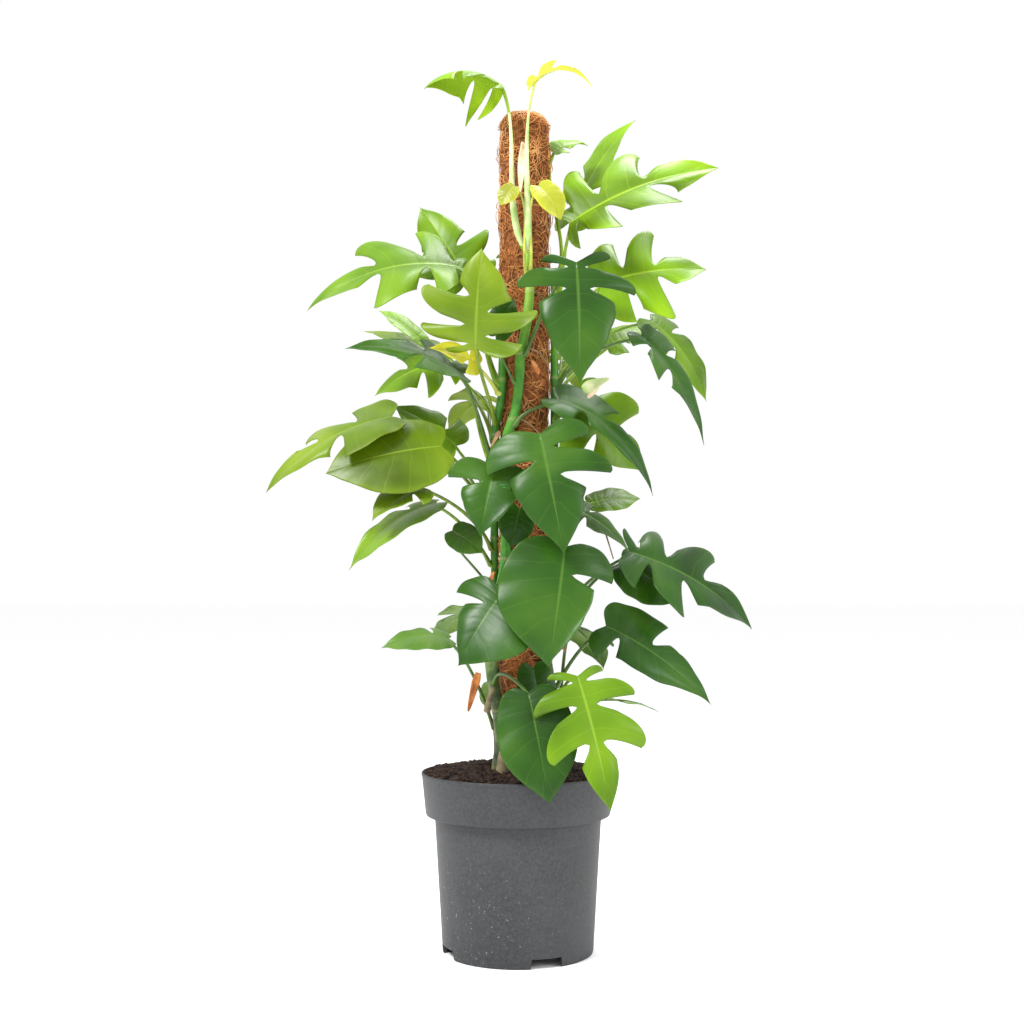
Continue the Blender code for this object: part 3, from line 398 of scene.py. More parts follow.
def leaf_material(tone, under):
    """The finish of one side of a blade: green, with a paler midrib and side veins on the blade's grid."""
    upper, lower, vein = TONE_COLOURS[tone]
    body = linear(lower if under else upper)
    made = Nodes("leaf_" + tone + ("_under" if under else "_top"))
    grid = made.add("ShaderNodeUVMap", uv_map="blade").outputs["UV"]
    parts = made.add("ShaderNodeSeparateXYZ")
    made.link(grid, parts.inputs[0])
    across = made.math("ABSOLUTE", made.math("MULTIPLY_ADD", parts.outputs[0], 2.0, -1.0))
    wander = made.noise(40.0, 2.0)
    along = made.math("MULTIPLY_ADD", wander, 0.03, parts.outputs[1])
    wave = made.math("PINGPONG", made.math("MULTIPLY", along, SIDE_VEINS), 0.5)
    side_vein = made.math("SUBTRACT", 1.0, made.step(wave, 0.0, VEIN_EDGE))
    midrib = made.math("SUBTRACT", 1.0, made.step(across, 0.008, VEIN_EDGE))
    cloud = made.noise(22.0, 3.0)
    patch = made.noise(8.0, 2.0)
    dark = tuple(0.5 * value for value in body[:3]) + (1.0,)
    red, green, blue = body[:3]
    light = (min(1.0, 1.6 * red + 0.01), min(1.0, 1.4 * green + 0.01), min(1.0, 1.2 * blue + 0.003), 1.0)
    colour = made.ramp(patch, ((0.34, dark), (0.5, body), (0.66, light)))
    colour = made.mix(made.math("MULTIPLY", made.step(cloud, 0.45, 0.75), 0.45), colour, body)
    edge = made.math("MULTIPLY", made.step(across, 0.82, 1.0), 0.3)
    colour = made.mix(edge, colour, light)
    colour = made.mix(made.math("MULTIPLY", side_vein, 0.32 if under else 0.24), colour, vein)
    colour = made.mix(made.math("MULTIPLY", midrib, 0.8 if under else 0.6), colour, vein)
    swell = made.math("SUBTRACT", made.step(wave, 0.0, 0.3), made.math("MULTIPLY", midrib, 0.9))
    sign = -1.0 if under else 1.0
    normal = made.bump(made.math("MULTIPLY", swell, sign), 0.0004, 0.35)
    normal = made.bump(cloud, 0.003, 0.3, normal)
    rough = made.math("MULTIPLY_ADD", cloud, 0.2, 0.42 if under else 0.26)
    return made.finish(colour, rough, normal, 0.14 if under else 0.24)


def stalk_material(tone):
    """The finish of a leaf stalk."""
    lower, vein = TONE_COLOURS[tone][1:]
    made = Nodes("stalk_" + tone)
    body = linear(lower)
    shade = tuple(0.6 * value for value in body[:3]) + (1.0,)
    colour = made.ramp(made.noise(70.0, 4.0), ((0.3, shade), (0.52, body), (0.75, vein)))
    normal = made.bump(made.noise(500.0, 3.0), 0.0003, 0.4)
    return made.finish(colour, 0.36, normal)


def stem_material():
    """The finish of the vines: smooth green, grey and scarred low down, with pale scars at the nodes."""
    made = Nodes("vine_skin")
    place = made.add("ShaderNodeTexCoord").outputs["Object"]
    parts = made.add("ShaderNodeSeparateXYZ")
    made.link(place, parts.inputs[0])
    scar = made.add("ShaderNodeAttribute", attribute_name="scar").outputs["Fac"]
    mottle = made.noise(60.0, 4.0, 0.6)
    young = made.ramp(mottle, ((0.3, (44, 98, 24)), (0.55, (64, 128, 34)), (0.8, (104, 158, 52))))
    old = made.ramp(mottle, ((0.3, (38, 50, 30)), (0.5, (66, 82, 48)), (0.72, (122, 120, 86))))
    colour = made.mix(made.step(parts.outputs[2], 0.3, 0.46), old, young)
    lime = made.step(parts.outputs[2], 0.7, 0.86)
    colour = made.mix(lime, colour, (138, 178, 60))
    colour = made.mix(made.math("MULTIPLY", scar, 0.55), colour, (166, 152, 108))
    normal = made.bump(made.noise(240.0, 4.0, 0.6), 0.0006, 0.4)
    return made.finish(colour, made.math("MULTIPLY_ADD", mottle, 0.3, 0.28), normal, 0.35)


def coir_material(dark):
    """The finish of coconut fibre; with dark set, a darker copy that paints the shade of the gaps between the
    loose fibres onto the sleeve.
    """
    made = Nodes("coir_painted_shade" if dark else "coir_fibre")
    tone = made.noise(160.0 if dark else 38.0, 5.0, 0.7)
    # The dark copy is painted shade: the same coir, darker to stand for the gaps in shade under the loose
    # fibres.
    if dark:
        stops = ((0.35, (60, 30, 14)), (0.55, (136, 80, 40)), (0.75, (184, 118, 64)))
    else:
        stops = ((0.3, (140, 84, 38)), (0.5, (204, 138, 76)), (0.7, (242, 190, 128)))
    colour = made.ramp(tone, stops)
    normal = made.bump(made.noise(700.0, 4.0, 0.7), 0.0012, 0.9)
    return made.finish(colour, 0.8, normal, 0.2)


def soil_material():
    """The finish of wet dark fibrous potting soil."""
    made = Nodes("soil_grain")
    tone = made.noise(200.0, 6.0, 0.7)
    stops = ((0.34, (12, 7, 5)), (0.52, (40, 24, 16)), (0.66, (78, 50, 32)), (0.84, (124, 86, 56)))
    colour = made.ramp(tone, stops)
    moss = made.math("MULTIPLY", made.step(made.noise(22.0, 3.0), 0.6, 0.72), 0.3)
    colour = made.mix(moss, colour, (86, 82, 34))
    normal = made.bump(made.noise(420.0, 5.0, 0.7), 0.0025, 1.0)
    return made.finish(colour, 0.78, normal, 0.3)


def pot_material():
    """The finish of the grey moulded pot: fine grain, faint rub marks, and dust low down."""
    made = Nodes("pot_grey")
    place = made.add("ShaderNodeTexCoord").outputs["Object"]
    parts = made.add("ShaderNodeSeparateXYZ")
    made.link(place, parts.inputs[0])
    cloud = made.noise(14.0, 4.0)
    colour = made.ramp(cloud, ((0.3, (38, 39, 40)), (0.7, (50, 51, 53))))
    stretch = made.add("ShaderNodeMapping")
    made.link(place, stretch.inputs["Vector"])
    stretch.inputs["Scale"].default_value = (6.0, 6.0, 90.0)
    streak = made.step(made.noise(3.0, 5.0, 0.7, stretch.outputs["Vector"]), 0.6, 0.8)
    colour = made.mix(made.math("MULTIPLY", streak, 0.1), colour, (130, 132, 136))
    grain = made.step(made.noise(260.0, 4.0, 0.7), 0.35, 0.65)
    colour = made.mix(made.math("MULTIPLY", grain, 0.3), colour, (74, 75, 77))
    speck = made.step(made.noise(330.0, 3.0, 0.6), 0.63, 0.74)
    low = made.math("SUBTRACT", 1.0, made.step(parts.outputs[2], 0.01, 0.2))
    left = made.math("SUBTRACT", 1.0, made.step(parts.outputs[0], -0.08, 0.06))
    dust = made.math("MULTIPLY", speck, low)
    dust = made.math("MULTIPLY", dust, made.math("MULTIPLY_ADD", left, 0.45, 0.15))
    colour = made.mix(dust, colour, (196, 194, 188))
    normal = made.bump(made.noise(1500.0, 2.0), 0.0001, 0.5)
    rough = made.math("MULTIPLY_ADD", cloud, 0.15, 0.46)
    return made.finish(colour, rough, normal, 0.35)


def plain_material(name, first, second, scale, roughness):
    """A finish that wanders between two colours."""
    made = Nodes(name)
    colour = made.ramp(made.noise(scale, 4.0), ((0.35, first), (0.65, second)))
    normal = made.bump(made.noise(scale * 6.0, 3.0), 0.0004, 0.5)
    return made.finish(colour, roughness, normal)


def place_piece(obj, slot_name, *nodes):
    """Tie a piece to the frame and hide the frame's parts that it stands for."""
    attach(obj, "root")
    if nodes:
        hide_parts(*nodes)
    return obj


def new_object(name, data):
    """Put new data into the scene as an object."""
    obj = bpy.data.objects.new(name, data)
    bpy.context.scene.collection.objects.link(obj)
    return obj


def from_bmesh(name, bm):
    """Turn a bmesh into an object in the scene."""
    mesh = bpy.data.meshes.new(name)
    bm.to_mesh(mesh)
    bm.free()
    return new_object(name, mesh)


def refinish(obj, finish):
    """Give an object one finish in place of what it has."""
    obj.data.materials.clear()
    obj.data.materials.append(finish)


def bake(obj):
    """Replace an object with the mesh that its modifiers or its curve give."""
    graph = bpy.context.evaluated_depsgraph_get()
    graph.update()
    mesh = bpy.data.meshes.new_from_object(obj.evaluated_get(graph), depsgraph=graph)
    name = obj.name
    bpy.data.objects.remove(obj)
    mesh.name = name
    return new_object(name, mesh)


def tube(name, points, radii, resolution, finish):
    """A round smooth rod along points, as a mesh with its finish."""
    curve = bpy.data.curves.new(name, "CURVE")
    curve.dimensions = "3D"
    curve.bevel_depth = 1.0
    curve.bevel_resolution = resolution
    curve.use_fill_caps = True
    spline = curve.splines.new("POLY")
    spline.points.add(len(points) - 1)
    for point, place, radius in zip(spline.points, points, radii):
        point.co = (place[0], place[1], place[2], 1.0)
        point.radius = radius
    made = bake(new_object(name, curve))
    made.data.shade_smooth()
    refinish(made, finish)
    return made


def vine_point(vine, height):
    """The middle of a vine and its radius at a height in metres."""
    rows = VINES[vine]
    heights = [row[0] * MM for row in rows]
    angle = radians(np.interp(height, heights, [row[1] for row in rows]))
    radius = np.interp(height, heights, [row[2] for row in rows]) * MM
    room = np.interp(height, heights, [row[3] for row in rows]) * MM
    reach = COIR_RADIUS + room + radius
    middle = Vector((POLE_X + reach * sin(angle), POLE_Y - reach * cos(angle), height))
    return middle, float(radius)


class Blade:
    """The form of one leaf blade: a flat outline with slits, bent along its midrib and folded along it."""

    def __init__(self, leaf):
        self.base = Vector(leaf.base) * MM
        self.tip = Vector(leaf.tip) * MM
        chord = self.tip - self.base
        self.along = chord.normalized()
        face = Vector(leaf.face)
        self.up = (face - face.dot(self.along) * self.along).normalized()
        self.side = self.along.cross(self.up)
        self.bend = radians(max(2.0, leaf.bend))
        self.length = chord.length * (0.5 * self.bend) / sin(0.5 * self.bend)
        self.fold = radians(leaf.fold)
        self.half_width = 0.5 * leaf.width * MM
        self.slits = {
            1: [RIB_PARTS * rib for rib in sorted(leaf.plus)],
            -1: [RIB_PARTS * rib for rib in sorted(leaf.minus)]}
        self.phase = leaf.number * 1.7

    def outline(self, u):
        """The flat place of the blade's edge at rib u, on the plus side."""
        turn = pi * u
        taper = (1.0 - max(0.0, (u - TAPER_START) / (1.0 - TAPER_START)) ** 2) ** 2
        across = self.half_width * max(0.0, sin(turn)) ** 0.75 * taper
        ahead = (0.5 * (1.0 - cos(turn))) ** 1.25
        lobe = BASE_LOBE * (u / 0.14) * exp(1.0 - u / 0.14)
        return across, self.length * (ahead - lobe * (1.0 - u))

    def flat(self, u, level, reach):
        """The flat place at rib u and level, with the edge pulled in by reach."""
        across, ahead = self.outline(u)
        root = self.length * u ** 1.8
        out = abs(level) * reach
        return copysign(across * out, level), root + (ahead - root) * out ** 1.3

    def lifted(self, flat, u=0.0, level=0.0, sink=0.0):
        """The place in space of a flat point, with a ripple that grows towards the edge."""
        across, ahead = flat
        turn = 0.5 * self.bend - self.bend * ahead / self.length
        radius = self.length / self.bend
        start = 0.5 * self.bend
        forward = radius * (sin(start) - sin(turn))
        rise = radius * (cos(turn) - cos(start))
        normal = cos(turn) * self.up - sin(turn) * self.along
        droop = abs(across) * sin(self.fold) - CURL * across * across / self.half_width
        side = 1.0 if level > 0.0 else -1.0
        size = min(1.0, self.half_width / (50.0 * MM))
        ripple = RIPPLE * size * level * level * sin(15.0 * u + self.phase + side)
        ripple += 0.6 * RIPPLE * size * abs(level) ** 3 * sin(37.0 * u + 2.0 * self.phase - side)
        place = self.base + forward * self.along + rise * self.up
        room = min(1.0, abs(across) / (0.35 * self.half_width))
        return place + across * cos(self.fold) * self.side + (droop + room * (ripple - sink)) * normal

    def shift(self, ribs, rib, level, upper):
        """How far a grid point moves along u, how far its edge is pulled in, and how far it sinks."""
        if abs(level) <= SLIT_ROOT + 1e-6:
            return 0.0, 1.0, 0.0
        side = 1 if level > 0.0 else -1
        slits = self.slits[side]
        if not slits:
            return 0.0, 1.0, 0.0
        spread = (abs(level) - SLIT_ROOT) / (1.0 - SLIT_ROOT)
        opening = SLIT_HALF_WIDTH * sqrt(spread) * (1.25 - 0.3 * spread)
        last = len(ribs) - 1
        start = max(end for end in [0] + slits if end < rib or (end == rib and upper))
        finish = min([end for end in slits + [last] if end > start])
        share = (ribs[rib] - ribs[start]) / (ribs[finish] - ribs[start])
        moved = 0.0
        reach = 1.0
        sink = LOBE_SWAY * spread * spread * sin(self.phase + 2.1 * start / RIB_PARTS + side)
        if start > 0:
            rest = 1.0 - share
            moved += opening * rest
            reach -= spread * (LOBE_BACK * rest ** 1.5 + LOBE_ROUND * rest ** 8)
            sink += LOBE_CUP * spread * rest ** 4
        if finish < last:
            moved -= opening * share
            reach -= spread * (LOBE_FRONT * share ** 2 + LOBE_ROUND * share ** 8)
            sink += LOBE_CUP * spread * share ** 4
        elif start > 0:
            reach -= TIP_LOBE_PULL * spread * (RIBS[-3] - ribs[start])
        return moved, max(reach, 1.0 - MOST_PULL * spread), sink * self.half_width


def blade_sheet(name, blade):
    """A blade as a sheet with no thickness, made on a grid whose edges are split at the slits."""
    ribs = []
    for first, second in zip(RIBS, RIBS[1:]):
        for part in range(RIB_PARTS):
            ribs.append(first + (second - first) * part / RIB_PARTS)
    ribs.append(RIBS[-1])
    levels = [-level for level in reversed(SIDE_LEVELS)] + [0.0] + list(SIDE_LEVELS)
    rows = len(ribs) - 1
    columns = len(levels) - 1
    bm = bmesh.new()
    bmesh.ops.create_grid(bm, x_segments=columns, y_segments=rows, size=1.0)
    layer = bm.loops.layers.uv.new("blade")

    def rib_of(vert):
        return int(round(0.5 * (vert.co.y + 1.0) * rows))

    def level_of(vert):
        return levels[int(round(0.5 * (vert.co.x + 1.0) * columns))]

    cuts = []
    for edge in bm.edges:
        first, second = edge.verts
        if rib_of(first) != rib_of(second):
            continue
        middle = 0.5 * (level_of(first) + level_of(second))
        side = 1 if middle > 0.0 else -1
        if rib_of(first) in blade.slits[side] and abs(middle) > SLIT_ROOT:
            cuts.append(edge)
    if cuts:
        bmesh.ops.split_edges(bm, edges=cuts)
    for face in bm.faces:
        for loop in face.loops:
            loop[layer].uv = (0.5 + 0.5 * level_of(loop.vert), ribs[rib_of(loop.vert)])
    places = {}
    for vert in bm.verts:
        rib = rib_of(vert)
        level = level_of(vert)
        middle = sum(face.calc_center_median().y for face in vert.link_faces) / len(vert.link_faces)
        moved, reach, sink = blade.shift(ribs, rib, level, middle > vert.co.y)
        u = ribs[rib] + moved
        places[vert] = blade.lifted(blade.flat(u, level, reach), u, level, sink)
    for vert, place in places.items():
        vert.co = place
    bmesh.ops.remove_doubles(bm, verts=bm.verts[:], dist=0.00004)
    for face in bm.faces:
        face.smooth = True
    return from_bmesh("blade_" + name, bm)


def bezier(points, share):
    """A point on a cubic Bezier curve."""
    first, second, third, fourth = points
    rest = 1.0 - share
    return (first * rest ** 3 + second * 3.0 * share * rest ** 2
            + third * 3.0 * share ** 2 * rest + fourth * share ** 3)


def stalk_path(leaf, blade):
    """The points of a leaf stalk, from the vine to under the blade's base."""
    middle, radius = vine_point(leaf.vine, leaf.foot * MM)
    away = blade.base - middle
    from_pole = Vector((middle.x - POLE_X, middle.y - POLE_Y, 0.0)).normalized()
    flat_away = Vector((away.x, away.y, 0.0))
    if flat_away.length < 0.02:
        flat_away = from_pole * 0.02
    outward = flat_away.normalized()
    inward = outward.dot(from_pole)
    if inward < 0.25:
        outward = (outward + (0.25 - inward) * from_pole).normalized()
    foot = middle + outward * (radius + STALK_FOOT_RADIUS - 1.2 * MM)
    top = blade.lifted((0.0, 0.035 * blade.length))
    turn = 0.43 * blade.bend
    normal = cos(turn) * blade.up - sin(turn) * blade.along
    end = top - normal * (STALK_TOP_RADIUS * 0.6)
    span = (end - foot).length
    rise = Vector((0.0, 0.0, 1.0))
    leave = (outward * 0.5 + rise).normalized()
    arrive = cos(0.5 * blade.bend) * blade.along + sin(0.5 * blade.bend) * blade.up
    arrive = (arrive * 0.6 + (end - foot).normalized() * 0.4 + rise * 0.15).normalized()
    handles = (foot, foot + leave * span * 0.3, end - arrive * span * 0.3, end)
    points = [bezier(handles, step / (STALK_POINTS - 1)) for step in range(STALK_POINTS)]
    sunk = middle + outward * (0.5 * radius) - rise * (1.5 * MM)
    points.insert(0, sunk)
    for share, part in MIDRIB_STEPS:
        along_rib = blade.lifted((0.0, share * blade.length))
        points.append(along_rib - normal * (0.75 * STALK_TOP_RADIUS * (1.0 - share)))
    return points


def stalk_radii(leaf, count):
    """Stalk radii: a wide clasping foot, a slim middle, a swollen joint under the blade, then the midrib."""
    slim = 0.7 if leaf.width < YOUNG_WIDTH else 1.0
    radii = []
    body = count - len(MIDRIB_STEPS)
    for step in range(body):
        share = step / (body - 1)
        radius = STALK_FOOT_RADIUS + (STALK_TOP_RADIUS - STALK_FOOT_RADIUS) * share
        radius += 1.5 * MM * exp(-(share / 0.08) ** 2)
        radius += 0.5 * MM * exp(-((share - 0.95) / 0.05) ** 2)
        radii.append(radius * slim)
    for share, part in MIDRIB_STEPS:
        radii.append(STALK_TOP_RADIUS * part * slim)
    return radii


def make_leaf(leaf, finishes):
    """One leaf: a fine blade with its stalk, standing for the frame's leaf."""
    name = "leaf_%02d" % leaf.number
    blade = Blade(leaf)
    body = blade_sheet(name, blade)
    tone = next((tone for tone, members in TONE.items() if leaf.number in members), "dark")
    top, under, stalk_finish = finishes[tone]
    for material in (top, under):
        body.data.materials.append(material)
    solid = body.modifiers.new("thickness", "SOLIDIFY")
    solid.thickness = BLADE_THICKNESS
    solid.offset = 0.0
    solid.material_offset = 1
    body = bake(body)
    points = stalk_path(leaf, blade)
    stalk = tube("stalk_" + name, points, stalk_radii(leaf, len(points)), 3, stalk_finish)
    for piece in (body, stalk):
        place_piece(piece, "leaf", name)


def make_vines(finish):
    """The climbing stems with a ring at each node."""
    for vine, rows in VINES.items():
        low = rows[0][0] * MM
        high = rows[-1][0] * MM
        count = int((high - low) / VINE_STEP)
        nodes = [ring * MM for ring in RINGS[vine]]
        points = []
        radii = []
        for step in range(count + 1):
            height = low + (high - low) * step / count
            middle, radius = vine_point(vine, height)
            near = min(abs(height - node) for node in nodes)
            ring = exp(-(near / RING_WIDTH) ** 2)
            radii.append(radius * (0.97 + 0.1 * ring + 0.03 * sin(90.0 * height)))
            points.append(middle)
        smooth = [points[0]]
        for index in range(1, len(points) - 1):
            window = points[max(0, index - VINE_SMOOTHING):index + VINE_SMOOTHING + 1]
            smooth.append(sum(window, Vector()) / len(window))
        smooth.append(points[-1])
        stem = tube("vine_" + vine, smooth, radii, 5, finish)
        scar = stem.data.attributes.new("scar", "FLOAT", "POINT")
        for vert, value in zip(stem.data.vertices, scar.data):
            near = min(abs(vert.co.z - node) for node in nodes)
            value.value = exp(-(near / SCAR_WIDTH) ** 2)
        place_piece(stem, "stem", "stem_" + vine)


def make_sheath(leaf, finish):
    """The pale papery sheath round the lower part of a young leaf's stalk."""
    path = stalk_path(leaf, Blade(leaf))[1:-len(MIDRIB_STEPS)]
    count = int(0.84 * len(path))
    points = [place + Vector((0.0, -1.0 * MM, 0.0)) for place in path[:count]]
    radii = []
    for step in range(count):
        share = step / (count - 1)
        radii.append((4.6 - 3.2 * share ** 1.4) * MM * min(1.0, 0.5 + 4.0 * share))
    place_piece(tube("sheath_leaf_%02d" % leaf.number, points, radii, 4, finish), "stem")


def make_strips(finishes):
    """Dried sheaths and old leaf bases: narrow curled strips that hang on the vines."""
    for number, (finish, start, end, width, bow) in enumerate(STRIPS):
        first = Vector(start) * MM
        last = Vector(end) * MM
        along = (last - first).normalized()
        side = along.cross(Vector((0.0, -1.0, 0.0))).normalized()
        front = side.cross(along)
        bm = bmesh.new()
        rows = []
        for step in range(STRIP_STEPS + 1):
            share = step / STRIP_STEPS
            middle = first.lerp(last, share) + front * (bow * MM * sin(pi * share))
            half = 0.5 * width * MM * sin(pi * min(1.0, 0.12 + 0.86 * share)) ** 0.7
            twist = 0.9 * sin(2.4 * share + number)
            row = []
            for level in STRIP_LEVELS:
                across = side * cos(twist) + front * sin(twist)
                cup = front * (0.35 * half * level * level)
                row.append(bm.verts.new(middle + across * (half * level) + cup))
            rows.append(row)
        for low, high in zip(rows, rows[1:]):
            for index in range(len(STRIP_LEVELS) - 1):
                bm.faces.new((low[index], low[index + 1], high[index + 1], high[index]))
        strip = from_bmesh("strip_%02d" % number, bm)
        solid = strip.modifiers.new("thickness", "SOLIDIFY")
        solid.thickness = 0.5 * MM
        strip = bake(strip)
        strip.data.shade_smooth()
        refinish(strip, finishes[finish])
        place_piece(strip, "stem")


def make_roots(finishes):
    """Aerial roots, two stem stubs and a dry stalk: tapering rods along given points."""
    for number, (finish, radius, places) in enumerate(ROOTS):
        corners = [Vector(place) * MM for place in places]
        points = []
        for first, second in zip(corners, corners[1:]):
            points += [first.lerp(second, share / 5.0) for share in range(5)]
        points.append(corners[-1])
        for turn in range(3):
            inner = [(a + b + c) / 3.0 for a, b, c in zip(points, points[1:], points[2:])]
            points = [points[0]] + inner + [points[-1]]
        radii = [radius * MM * (1.0 - 0.45 * step / len(points)) for step in range(len(points))]
        place_piece(tube("root_%02d" % number, points, radii, 2, finishes[finish]), "stem")


def turned(name, profile, steps, centre=(0.0, 0.0)):
    """Turn a profile of (radius, height) points about an upright axis."""
    bm = bmesh.new()
    points = [bm.verts.new((radius, 0.0, height)) for radius, height in profile]
    for first, second in zip(points, points[1:]):
        bm.edges.new((first, second))
    obj = from_bmesh(name, bm)
    screw = obj.modifiers.new("turn", "SCREW")
    screw.axis = "Z"
    screw.angle = tau
    screw.steps = steps
    screw.render_steps = steps
    screw.use_merge_vertices = True
    screw.merge_threshold = 0.00001
    made = bake(obj)
    made.data.transform(Matrix.Translation((centre[0], centre[1], 0.0)))
    bm = bmesh.new()
    bm.from_mesh(made.data)
    bmesh.ops.remove_doubles(bm, verts=bm.verts[:], dist=0.000005)
    bmesh.ops.recalc_face_normals(bm, faces=bm.faces[:])
    bm.to_mesh(made.data)
    bm.free()
    return made


def make_pot(finish):
    """The pot, with a rounded rim and steps, notches in its foot and holes in its floor."""
    foot = BASE_RADIUS - FOOT_WIDTH
    floor = FLOOR_UNDERSIDE + FLOOR_THICKNESS
    corners = (
        (0.0, FLOOR_UNDERSIDE, ((0, 0),)),
        (foot, FLOOR_UNDERSIDE, ((0, 0),)),
        (foot, 0.0, ((0, 0.3), (0.5, 0))),
        (BASE_RADIUS, 0.0, ((-1.6, 0), (-0.5, 0.7), (0.2, 2.5))),
        (BODY_TOP_RADIUS, COLLAR_BOTTOM, ((0, -1.7), (0.7, -0.8))),
        (COLLAR_FOOT_RADIUS, COLLAR_BOTTOM, ((-3, -0.4), (-1, 0.4), (0, 2.2))),
        (RIM_RADIUS, RIM_TOP, ((-0.8, -4.8), (-0.2, -4.2), (0, -3.2), (0, -1), (-0.4, -0.2), (-1.2, 0))),
        (RIM_RADIUS, RIM_TOP, ((-2, -0.3),)),
        (RIM_RADIUS - WALL, RIM_TOP, ((-0.8, -1.2),)),
        (COLLAR_FOOT_RADIUS - WALL, COLLAR_BOTTOM, ((0, 3),)),
        (BODY_TOP_RADIUS - WALL, COLLAR_BOTTOM, ((0, 1),)),
        (BASE_RADIUS - WALL, floor, ((0, 0),)),
        (0.0, floor, ((0, 0),)))
    profile = []
    for radius, height, offsets in corners:
        profile += [(radius + out * MM, height + up * MM) for out, up in offsets]
    pot = turned("nursery_pot", profile, POT_STEPS)
    bm = bmesh.new()
    for angle in NOTCH_ANGLES:
        made = bmesh.ops.create_cube(bm, size=1.0)
        turn = radians(angle)
        for vert in made["verts"]:
            narrow = 1.0 - 0.08 * (vert.co.z > 0.0)
            out = BASE_RADIUS - 6.0 * MM + vert.co.x * 24.0 * MM
            across = vert.co.y * NOTCH_WIDTH * narrow
            vert.co.z = (vert.co.z + 0.5) * 2.0 * NOTCH_HEIGHT - NOTCH_HEIGHT
            vert.co.x = out * sin(turn) + across * cos(turn)
            vert.co.y = -out * cos(turn) + across * sin(turn)
    for angle in NOTCH_ANGLES:
        turn = radians(angle + 45.0)
        made = bmesh.ops.create_cone(
            bm, cap_ends=True, segments=24, radius1=DRAIN_HOLE_RADIUS, radius2=DRAIN_HOLE_RADIUS,
            depth=30.0 * MM)
        place = (DRAIN_HOLE_CIRCLE * sin(turn), DRAIN_HOLE_CIRCLE * cos(turn), FLOOR_UNDERSIDE)
        bmesh.ops.translate(bm, verts=made["verts"], vec=place)
    bmesh.ops.recalc_face_normals(bm, faces=bm.faces[:])
    cutter = from_bmesh("cut", bm)
    cut = pot.modifiers.new("cut", "BOOLEAN")
    cut.operation = "DIFFERENCE"
    cut.solver = "EXACT"
    cut.object = cutter
    pot = bake(pot)
    bpy.data.objects.remove(cutter)
    pot.data.shade_smooth()
    pot.data.set_sharp_from_angle(angle=radians(32.0))
    refinish(pot, finish)
    place_piece(pot, "pot", "pot")


def soil_height(share):
    """The height of the mounded soil at a share of the way from its middle to its edge."""
    return SOIL_CENTRE_TOP - (SOIL_CENTRE_TOP - SOIL_EDGE_TOP) * share ** 1.6


def make_soil(finish):
    """The soil: its body stays as in the frame, and a rough crumbly top lies on it."""
    refinish(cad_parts["soil"], finish)
    slope = (RIM_RADIUS - COLLAR_FOOT_RADIUS) / (RIM_TOP - COLLAR_BOTTOM)
    edge = COLLAR_FOOT_RADIUS + slope * (SOIL_EDGE_TOP - COLLAR_BOTTOM) - WALL - 0.6 * MM
    profile = [(edge * ring / SOIL_RINGS, SOIL_CENTRE_TOP) for ring in range(SOIL_RINGS, -1, -1)]
    crust = turned("soil_crust", profile, SOIL_STEPS)
    for vert in crust.data.vertices:
        share = hypot(vert.co.x, vert.co.y) / edge
        place = Vector((vert.co.x, vert.co.y, 0.0))
        rough = 3.8 * MM * noise.fractal(place * 60.0, 0.8, 2.1, 5) + 1.4 * MM * noise.noise(place * 420.0)
        vert.co.z = soil_height(share) + 1.6 * MM + rough * min(1.0, 6.0 * (1.02 - share))
    crust.data.shade_smooth()
    refinish(crust, finish)
    place_piece(crust, "soil")
    rng = random.Random(7)
    bm = bmesh.new()
    for crumb in range(CRUMBS):
        reach = edge * sqrt(rng.random()) * 0.985
        turn = rng.uniform(0.0, tau)
        size = rng.choice(CRUMB_SIZES) * MM * rng.uniform(0.7, 1.3)
        x = reach * cos(turn)
        y = reach * sin(turn)
        if hypot(x - POLE_X, y - POLE_Y) < COIR_RADIUS:
            continue
        rise = soil_height(reach / edge)
        made = bmesh.ops.create_icosphere(bm, subdivisions=1, radius=size)
        stretch = Vector((rng.uniform(0.7, 1.5), rng.uniform(0.6, 1.2), rng.uniform(0.5, 0.9)))
        for vert in made["verts"]:
            wobble = 1.0 + 0.35 * noise.noise(vert.co * 900.0 + Vector((crumb, 0.0, 0.0)))
            vert.co = vert.co * stretch * wobble + Vector((x, y, rise + 2.2 * MM))
    crumbs = from_bmesh("soil_crumbs", bm)
    refinish(crumbs, finish)
    place_piece(crumbs, "soil")


def dome_fall(drop):
    """How far the coir's rounded edge falls at a distance past the start of the rounding."""
    return DOME_RADIUS - sqrt(max(0.0, DOME_RADIUS ** 2 - min(drop, 14.9 * MM) ** 2))


def make_sleeve(finish):
    """The rough body of the coir, with shallow waists and a rounded top, in the darker coir finish that
    paints the shade of the gaps between the fibres.
    """
    profile = [(0.0, COIR_TOP - 0.5 * MM)]
    for step in range(1, 9):
        turn = 0.5 * pi * step / 8
        profile.append((COIR_RADIUS - DOME_HEIGHT + DOME_RADIUS * sin(turn),
                        COIR_TOP - DOME_HEIGHT + 15.5 * MM * cos(turn)))
    height = COIR_TOP - 19.0 * MM
    while height > 0.2:
        profile.append((COIR_RADIUS - 1.0 * MM, height))
        height -= 3.2 * MM
    sleeve = turned("coir_sleeve", profile, COIR_STEPS, (POLE_X, POLE_Y))
    for vert in sleeve.data.vertices:
        out = Vector((vert.co.x - POLE_X, vert.co.y - POLE_Y, 0.0))
        waist = WAIST_DEPTH * cos(tau * vert.co.z / WAIST_PITCH)
        rough = 1.3 * MM * noise.fractal(vert.co * 160.0, 0.8, 2.2, 4)
        if out.length > 2.0 * MM:
            vert.co += out.normalized() * (rough + waist - 0.6 * MM)
        else:
            vert.co.z += rough
    sleeve.data.shade_smooth()
    refinish(sleeve, finish)
    place_piece(sleeve, "coir", "pole_coir")


